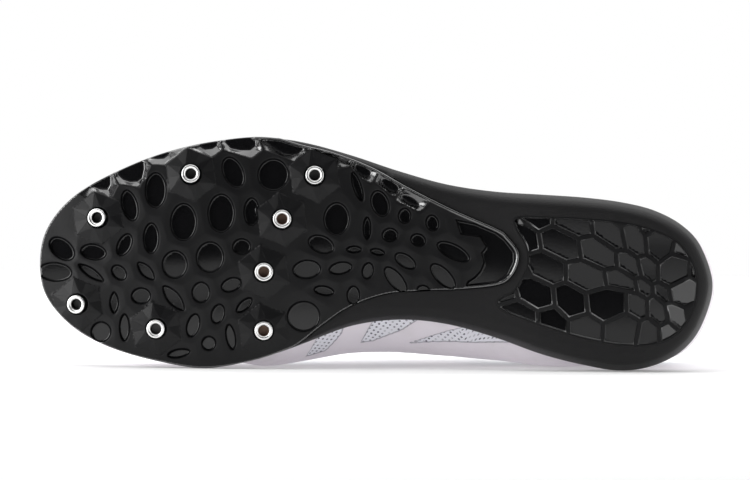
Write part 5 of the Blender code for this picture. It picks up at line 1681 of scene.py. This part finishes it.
def ribbon(route, widths):
    """Rings of a flat rounded ribbon along a route, its width carried on from the middle to both ends."""
    corners = np.linspace(0.0, 2 * math.pi, LACE_CORNERS, endpoint=False)
    wide = np.sign(np.cos(corners)) * np.abs(np.cos(corners)) ** LACE_POWERS[0] * LACE_WIDTH / 2
    thick = np.sign(np.sin(corners)) * np.abs(np.sin(corners)) ** LACE_POWERS[1] * LACE_THICK / 2
    last = len(route) - 1
    ahead = [unit(route[min(k + 1, last)] - route[max(k - 1, 0)]) for k in range(last + 1)]
    middle = len(route) // 2
    up = np.array([0.0, 0.0, 1.0])
    across = {middle: unit(np.cross(ahead[middle], up))}
    for k in list(range(middle + 1, last + 1)) + list(range(middle - 1, -1, -1)):
        before = across[k - 1] if k > middle else across[k + 1]
        across[k] = unit(before - ahead[k] * np.dot(before, ahead[k]))
    rings = []
    for k, point in enumerate(route):
        out = np.cross(across[k], ahead[k])
        rings.append(point + (wide * widths[k])[:, None] * across[k] + thick[:, None] * out)
    return rings


def make_lace(look):
    """Lace crossings over the throat, each diving into its eyelets."""
    routes = [([(MEDIAL, 0), (LATERAL, 0)], 0.0)]
    for row in range(EYELETS - 1):
        way = MEDIAL if row % 2 else LATERAL
        routes.append(([(way, row), (-way, row + 1)], 0.0))
        routes.append(([(-way, row), (way, row + 1)], LACE_RISE))
    patches = []
    values = {"run": [], "across": []}
    lanes = np.cos(np.linspace(0.0, 2 * math.pi, LACE_CORNERS, endpoint=False))
    for stops, lift in routes:
        route, widths = lace_route(stops, lift)
        rings = ribbon(route, widths)
        run = path_run(route)
        for k, (low, high) in enumerate(zip(rings, rings[1:])):
            patches.append(strip(low, high))
            values["run"].append(np.repeat(run[k:k + 2], LACE_CORNERS))
            values["across"].append(np.tile(lanes, 2))
        for k in (0, -1):
            patches.append((rings[k], [tuple(range(LACE_CORNERS))]))
            values["run"].append(np.full(LACE_CORNERS, run[k]))
            values["across"].append(lanes)
    lace = make_object("lace_ribbon", patches, [look], values)
    wear(lace, "lace", "lace")


# Materials

def principled(name, colour, roughness, metallic=0.0):
    """New material, with its shader and node tree."""
    look = bpy.data.materials.new(name)
    look.use_nodes = True
    shader = look.node_tree.nodes["Principled BSDF"]
    shader.inputs["Base Color"].default_value = (*colour, 1.0)
    shader.inputs["Roughness"].default_value = roughness
    shader.inputs["Metallic"].default_value = metallic
    return look, look.node_tree, shader


def node(tree, kind, **settings):
    """New node with its properties or input values set."""
    made = tree.nodes.new(kind)
    for key, value in settings.items():
        if key in made.inputs:
            made.inputs[key].default_value = value
        else:
            setattr(made, key, value)
    return made


def noise(tree, scale, detail=3.0):
    """Noise in the object's own metres."""
    place = node(tree, "ShaderNodeTexCoord")
    grain = node(tree, "ShaderNodeTexNoise", Scale=scale, Detail=detail)
    tree.links.new(place.outputs["Object"], grain.inputs["Vector"])
    return grain.outputs["Fac"]


def spread(tree, value, low, high, start=0.0, end=1.0):
    """Value mapped smoothly from one range to another."""
    mapped = node(tree, "ShaderNodeMapRange", interpolation_type="SMOOTHSTEP")
    for number, limit in enumerate((low, high, start, end), start=1):
        mapped.inputs[number].default_value = limit
    tree.links.new(value, mapped.inputs[0])
    return mapped.outputs[0]


def sums(tree, operation, first, second=0.0):
    """Result of one step of arithmetic on outputs or numbers."""
    step = node(tree, "ShaderNodeMath", operation=operation)
    for number, value in enumerate((first, second)):
        if isinstance(value, float):
            step.inputs[number].default_value = value
        else:
            tree.links.new(value, step.inputs[number])
    return step.outputs[0]


def blend(tree, share, first, second):
    """Colour between two colours or outputs, on the node's own colour sockets."""
    mix = node(tree, "ShaderNodeMix", data_type="RGBA")
    tree.links.new(share, mix.inputs["Factor"])
    colours = [socket for socket in mix.inputs if socket.type == "RGBA"]
    for socket, value in zip(colours, (first, second)):
        if isinstance(value, tuple):
            socket.default_value = (*value, 1.0)
        else:
            tree.links.new(value, socket)
    return mix.outputs[2]


def mark_value(tree, name):
    """Value stored on the piece by name."""
    return node(tree, "ShaderNodeAttribute", attribute_name=name).outputs["Fac"]


def lattice(tree, first, second, pitch, turn):
    """Distance from the nearest point of a turned square lattice, in pitches."""
    place = node(tree, "ShaderNodeCombineXYZ")
    tree.links.new(first, place.inputs[0])
    tree.links.new(second, place.inputs[1])
    turned = node(tree, "ShaderNodeMapping", Rotation=(0.0, 0.0, math.radians(turn)))
    tree.links.new(place.outputs[0], turned.inputs["Vector"])
    cells = node(tree, "ShaderNodeTexVoronoi", voronoi_dimensions="2D", Scale=1.0 / pitch, Randomness=0.0)
    tree.links.new(turned.outputs[0], cells.inputs["Vector"])
    return cells.outputs["Distance"]


def upper_look():
    """White film over an open mesh, with painted shade along the film's edges and in the mesh's holes,
    stitches and light dirt.
    """
    look, tree, shader = principled("film_and_mesh", FILM_COLOUR, FILM_ROUGHNESS)
    along = mark_value(tree, "along")
    up = mark_value(tree, "up")
    cloth = mark_value(tree, "cloth")
    mesh = spread(tree, cloth, *MESH_EDGE)
    # Painted shade along the foot of the film's step
    step_shade = spread(tree, sums(tree, "ABSOLUTE", sums(tree, "ADD", cloth, STEP_SHADE_SHIFT)), *STEP_SHADE_WIDTH)
    run = mark_value(tree, "run")
    across = mark_value(tree, "across")
    holes = spread(tree, lattice(tree, run, across, HOLE_PITCH, HOLE_TURN), *HOLE_EDGE)
    patchy = spread(tree, noise(tree, HOLE_PATCH_SCALE), *HOLE_PATCHES)
    holes = sums(tree, "MULTIPLY", holes, patchy)
    threads = lattice(tree, run, across, THREAD_PITCH, HOLE_TURN)
    # Painted shade: the gaps between threads darken a little and the holes go dark, as the shade seen
    # through the mesh
    knit = blend(tree, spread(tree, threads, *THREAD_SHADE), MESH_COLOUR, HOLE_SHADE_COLOUR)
    knit = blend(tree, holes, knit, HOLE_SHADE_COLOUR)
    patches = spread(tree, noise(tree, *DIRT_GRAIN), *DIRT_SPREAD)
    dirt = sums(tree, "MULTIPLY", patches, spread(tree, up, *DIRT_HEIGHT))
    skin = blend(tree, dirt, FILM_COLOUR, DIRT_COLOUR)
    stitch = stitches(tree, along, up, cloth)
    skin = blend(tree, stitch, skin, STITCH_COLOUR)
    colour = blend(tree, mesh, skin, knit)
    colour = blend(tree, sums(tree, "MULTIPLY", step_shade, STEP_SHADE_SHARE), colour, STEP_SHADE_COLOUR)
    tree.links.new(colour, shader.inputs["Base Color"])
    roughness = spread(tree, mesh, 0.0, 1.0, FILM_ROUGHNESS, MESH_ROUGHNESS)
    tree.links.new(roughness, shader.inputs["Roughness"])
    woven = sums(tree, "MULTIPLY", sums(tree, "ADD", threads, holes), mesh)
    grain = sums(tree, "MULTIPLY", noise(tree, FILM_GRAIN), FILM_GRAIN_SHARE)
    height = sums(tree, "SUBTRACT", sums(tree, "ADD", grain, stitch), sums(tree, "ADD", woven, mesh))
    bump(tree, shader, height, *UPPER_BUMP)
    return look


def stitches(tree, along, up, cloth):
    """Where stitches show: a dashed row beside the film's edges high on the wall, and under the collar."""
    beside = sums(tree, "ABSOLUTE", sums(tree, "ADD", cloth, STITCH_INSET))
    high = spread(tree, up, STITCH_START, STITCH_START + STITCH_RISE)
    beside = sums(tree, "MULTIPLY", spread(tree, beside, *STITCH_WIDTH), high)
    below = sums(tree, "ABSOLUTE", sums(tree, "SUBTRACT", mark_value(tree, "brim"), COLLAR_PAD_DEPTH))
    collar = spread(tree, along, *COLLAR_PAD_SPAN)
    below = sums(tree, "MULTIPLY", spread(tree, below, *STITCH_WIDTH), collar)
    phase = sums(tree, "FRACT", sums(tree, "DIVIDE", sums(tree, "ADD", along, up), STITCH_PITCH))
    dash = sums(tree, "MULTIPLY", spread(tree, phase, *DASH_START), spread(tree, phase, *DASH_END))
    return sums(tree, "MULTIPLY", dash, sums(tree, "MAXIMUM", beside, below))


def lace_look():
    """White flat lace with a chevron weave, its grooves painted darker as shade."""
    look, tree, shader = principled("lace_weave", LACE_COLOUR, LACE_ROUGHNESS)
    aside = sums(tree, "ABSOLUTE", mark_value(tree, "across"))
    slope = sums(tree, "MULTIPLY", aside, LACE_CHEVRON)
    way = sums(tree, "ADD", mark_value(tree, "run"), slope)
    phase = sums(tree, "FRACT", sums(tree, "DIVIDE", way, LACE_WEAVE))
    rib = sums(tree, "ABSOLUTE", sums(tree, "SUBTRACT", phase, 0.5))
    # Painted shade in the weave's grooves
    colour = blend(tree, spread(tree, rib, *LACE_GROOVE_SHADE), LACE_THREAD, LACE_GROOVE_SHADE_COLOUR)
    tree.links.new(colour, shader.inputs["Base Color"])
    bump(tree, shader, sums(tree, "SUBTRACT", 0.5, rib), *LACE_BUMP)
    return look


def bump(tree, shader, height, strength, distance):
    """Bump from a height, in metres, on a shader's normal."""
    relief = node(tree, "ShaderNodeBump", Strength=strength, Distance=distance)
    tree.links.new(height, relief.inputs["Height"])
    tree.links.new(relief.outputs["Normal"], shader.inputs["Normal"])


def moulded(name, roughness, specular, grain, coat):
    """Black moulded plastic with a fine grain."""
    look, tree, shader = principled(name, MOULDED_COLOUR, roughness)
    shader.inputs["Specular IOR Level"].default_value = specular
    shader.inputs["Coat Weight"].default_value = coat
    shader.inputs["Coat Roughness"].default_value = COAT_ROUGHNESS
    bump(tree, shader, noise(tree, MOULDED_GRAIN), grain, MOULDED_BUMP_DEPTH)
    return look


def foam_look():
    """Matte black foam with a fine skin."""
    look, tree, shader = principled("foam_black", FOAM_COLOUR, FOAM_ROUGHNESS)
    shader.inputs["Specular IOR Level"].default_value = FOAM_SPECULAR
    bump(tree, shader, noise(tree, *FOAM_GRAIN), *FOAM_BUMP)
    return look


def metal_look(name, colour, roughness):
    """Turned metal."""
    look, tree, shader = principled(name, colour, roughness, 1.0)
    bump(tree, shader, noise(tree, METAL_GRAIN), *METAL_BUMP)
    return look


def cloth_look(name, colour, threads):
    """Knitted cloth, with its threads a metre, faint shade between them and slight nap."""
    look, tree, shader = principled(name, colour, CLOTH_ROUGHNESS)
    place = node(tree, "ShaderNodeTexCoord")
    cells = node(tree, "ShaderNodeTexVoronoi", Scale=threads, Randomness=CLOTH_RANDOM)
    tree.links.new(place.outputs["Object"], cells.inputs["Vector"])
    distance = cells.outputs["Distance"]
    # Painted shade in the gaps between threads; the worn patches are real wear
    gap = spread(tree, distance, *CLOTH_GAPS)
    worn = spread(tree, noise(tree, *CLOTH_WEAR_GRAIN), *CLOTH_WEAR)
    dark = tuple(CLOTH_DARK * c for c in colour)
    shade = blend(tree, sums(tree, "MAXIMUM", gap, worn), colour, dark)
    tree.links.new(shade, shader.inputs["Base Color"])
    bump(tree, shader, sums(tree, "SUBTRACT", noise(tree, CLOTH_NAP), distance), *CLOTH_BUMP)
    shader.inputs["Sheen Weight"].default_value = CLOTH_SHEEN
    return look


# Stage

def plain_sheet(name, corners, look):
    """Flat stage sheet, in metres."""
    data = bpy.data.meshes.new(name)
    data.from_pydata(corners, [], [tuple(range(len(corners)))])
    data.materials.append(look)
    sheet = new_object(name, data)


def glow(name, strength):
    """White glowing look for a backdrop or reflector that is clear from behind."""
    look = bpy.data.materials.new(name)
    look.use_nodes = True
    tree = look.node_tree
    tree.nodes.clear()
    light = node(tree, "ShaderNodeEmission", Strength=strength)
    clear = node(tree, "ShaderNodeBsdfTransparent")
    facing = node(tree, "ShaderNodeNewGeometry")
    either = node(tree, "ShaderNodeMixShader")
    out = node(tree, "ShaderNodeOutputMaterial")
    tree.links.new(facing.outputs["Backfacing"], either.inputs[0])
    tree.links.new(light.outputs[0], either.inputs[1])
    tree.links.new(clear.outputs[0], either.inputs[2])
    tree.links.new(either.outputs[0], out.inputs["Surface"])
    return look


def area_light(name, place, target, size, power):
    """Soft rectangular light aimed at a point, in metres."""
    data = bpy.data.lights.new(name, "AREA")
    data.shape = "RECTANGLE"
    data.size, data.size_y = size
    data.energy = power
    lamp = new_object(name, data)
    lamp.location = place
    lamp.rotation_euler = (Vector(target) - Vector(place)).to_track_quat("-Z", "Y").to_euler()


def make_stage():
    """White floor that glows a little, bright backdrop, low card by the camera, and three softboxes."""
    white, _, shader = principled("floor_white", FLOOR_COLOUR, FLOOR_ROUGHNESS)
    shader.inputs["Specular IOR Level"].default_value = 0.0
    shader.inputs["Emission Color"].default_value = (1.0, 1.0, 1.0, 1.0)
    shader.inputs["Emission Strength"].default_value = FLOOR_GLOW
    near, far, wide = STAGE_NEAR, STAGE_FAR, STAGE_HALF_WIDTH
    plain_sheet("floor", [(-wide, near, 0), (wide, near, 0), (wide, far, 0), (-wide, far, 0)], white)
    plain_sheet("backdrop", [(-wide, far, 0), (wide, far, 0), (wide, far, BACKDROP_HEIGHT),
                             (-wide, far, BACKDROP_HEIGHT)], glow("backdrop_glow", BACKDROP_GLOW))
    plain_sheet("reflector", [(wide, near, 0), (-wide, near, 0), (-wide, near, CARD_HEIGHT),
                              (wide, near, CARD_HEIGHT)], glow("card_glow", CARD_GLOW))
    below = (SOFTBOX_PLACE[0], SOFTBOX_PLACE[1], 0.0)
    area_light("softbox", SOFTBOX_PLACE, below, SOFTBOX_SIZE, SOFTBOX_POWER)
    for place, power in zip(SIDE_PLACES, SIDE_POWERS):
        area_light("side_softbox", place, SIDE_TARGET, SIDE_SIZE, power)
    world = bpy.data.worlds.new("studio")
    world.use_nodes = True
    world.node_tree.nodes["Background"].inputs["Color"].default_value = WORLD_COLOUR
    bpy.context.scene.world = world


def make_camera():
    """Camera square to the tread, as in the photograph."""
    centre_x = (IMAGE_CENTRE[0] - SHOE_CENTRE[0]) / PIXELS_PER_MM
    centre_y = (IMAGE_CENTRE[1] - SHOE_CENTRE[1]) / PIXELS_PER_MM
    target = LYING @ Vector((centre_x, centre_y, 0.0))
    away = TURN.to_3x3() @ Vector((0.0, math.sin(CAMERA_DROP), -math.cos(CAMERA_DROP)))
    up = TURN.to_3x3() @ Vector((0.0, -1.0, 0.0))
    right = up.cross(away).normalized()
    top = away.cross(right).normalized()
    turn = Matrix((right, top, away)).transposed().to_4x4()
    data = bpy.data.cameras.new("camera")
    data.sensor_width = SENSOR_WIDTH
    data.lens = SENSOR_WIDTH * CAMERA_DISTANCE * PIXELS_PER_MM / IMAGE_WIDTH
    camera = new_object("camera", data)
    camera.matrix_world = Matrix.Translation((target + away * CAMERA_DISTANCE) * MM) @ turn
    bpy.context.scene.camera = camera


def main():
    """Stage, camera and every piece of the shoe with its looks."""
    make_stage()
    make_camera()
    satin = moulded("moulded_satin", *SATIN)
    gloss = moulded("moulded_gloss", *GLOSS)
    # Copies of the black plastic: painted highlight, and painted shade on recess walls
    highlight_black = moulded("moulded_painted_highlight", *PAINTED_HIGHLIGHT_BLACK)
    shade_wall = moulded("moulded_painted_shade", *PAINTED_SHADE_WALL)
    bright = metal_look("socket_bright", *RIM_METAL)
    # Bore look painted near black as shade inside the holes
    shaded_bore = metal_look("socket_bore_shaded", *SHADED_BORE_METAL)
    rusty = metal_look("socket_bore_rust", *RUSTY_METAL)
    lining = cloth_look("lining_grey", *LINING_CLOTH)
    make_plate(satin, gloss, highlight_black, shade_wall)
    for number, (x, y) in enumerate(zip(*SOCKETS.values()), start=1):
        make_socket(number, x, y, bright, rusty if number in RUSTY_SOCKETS else shaded_bore)
    # The last heel plate look is a copy with painted light for tilted floors
    make_heel_plate(satin, gloss, highlight_black, moulded("moulded_painted_light", *PAINTED_LIGHT_FLOOR))
    make_midsole(foam_look())
    make_insole(cloth_look("footbed_cloth", *FOOTBED_CLOTH))
    make_upper(upper_look(), lining, cloth_look("binding_cloth", *BINDING_CLOTH))
    make_tongue(cloth_look("tongue_mesh", *TONGUE_CLOTH))
    make_lace(lace_look())
    bpy.context.scene.view_settings.view_transform = "Standard"


main()
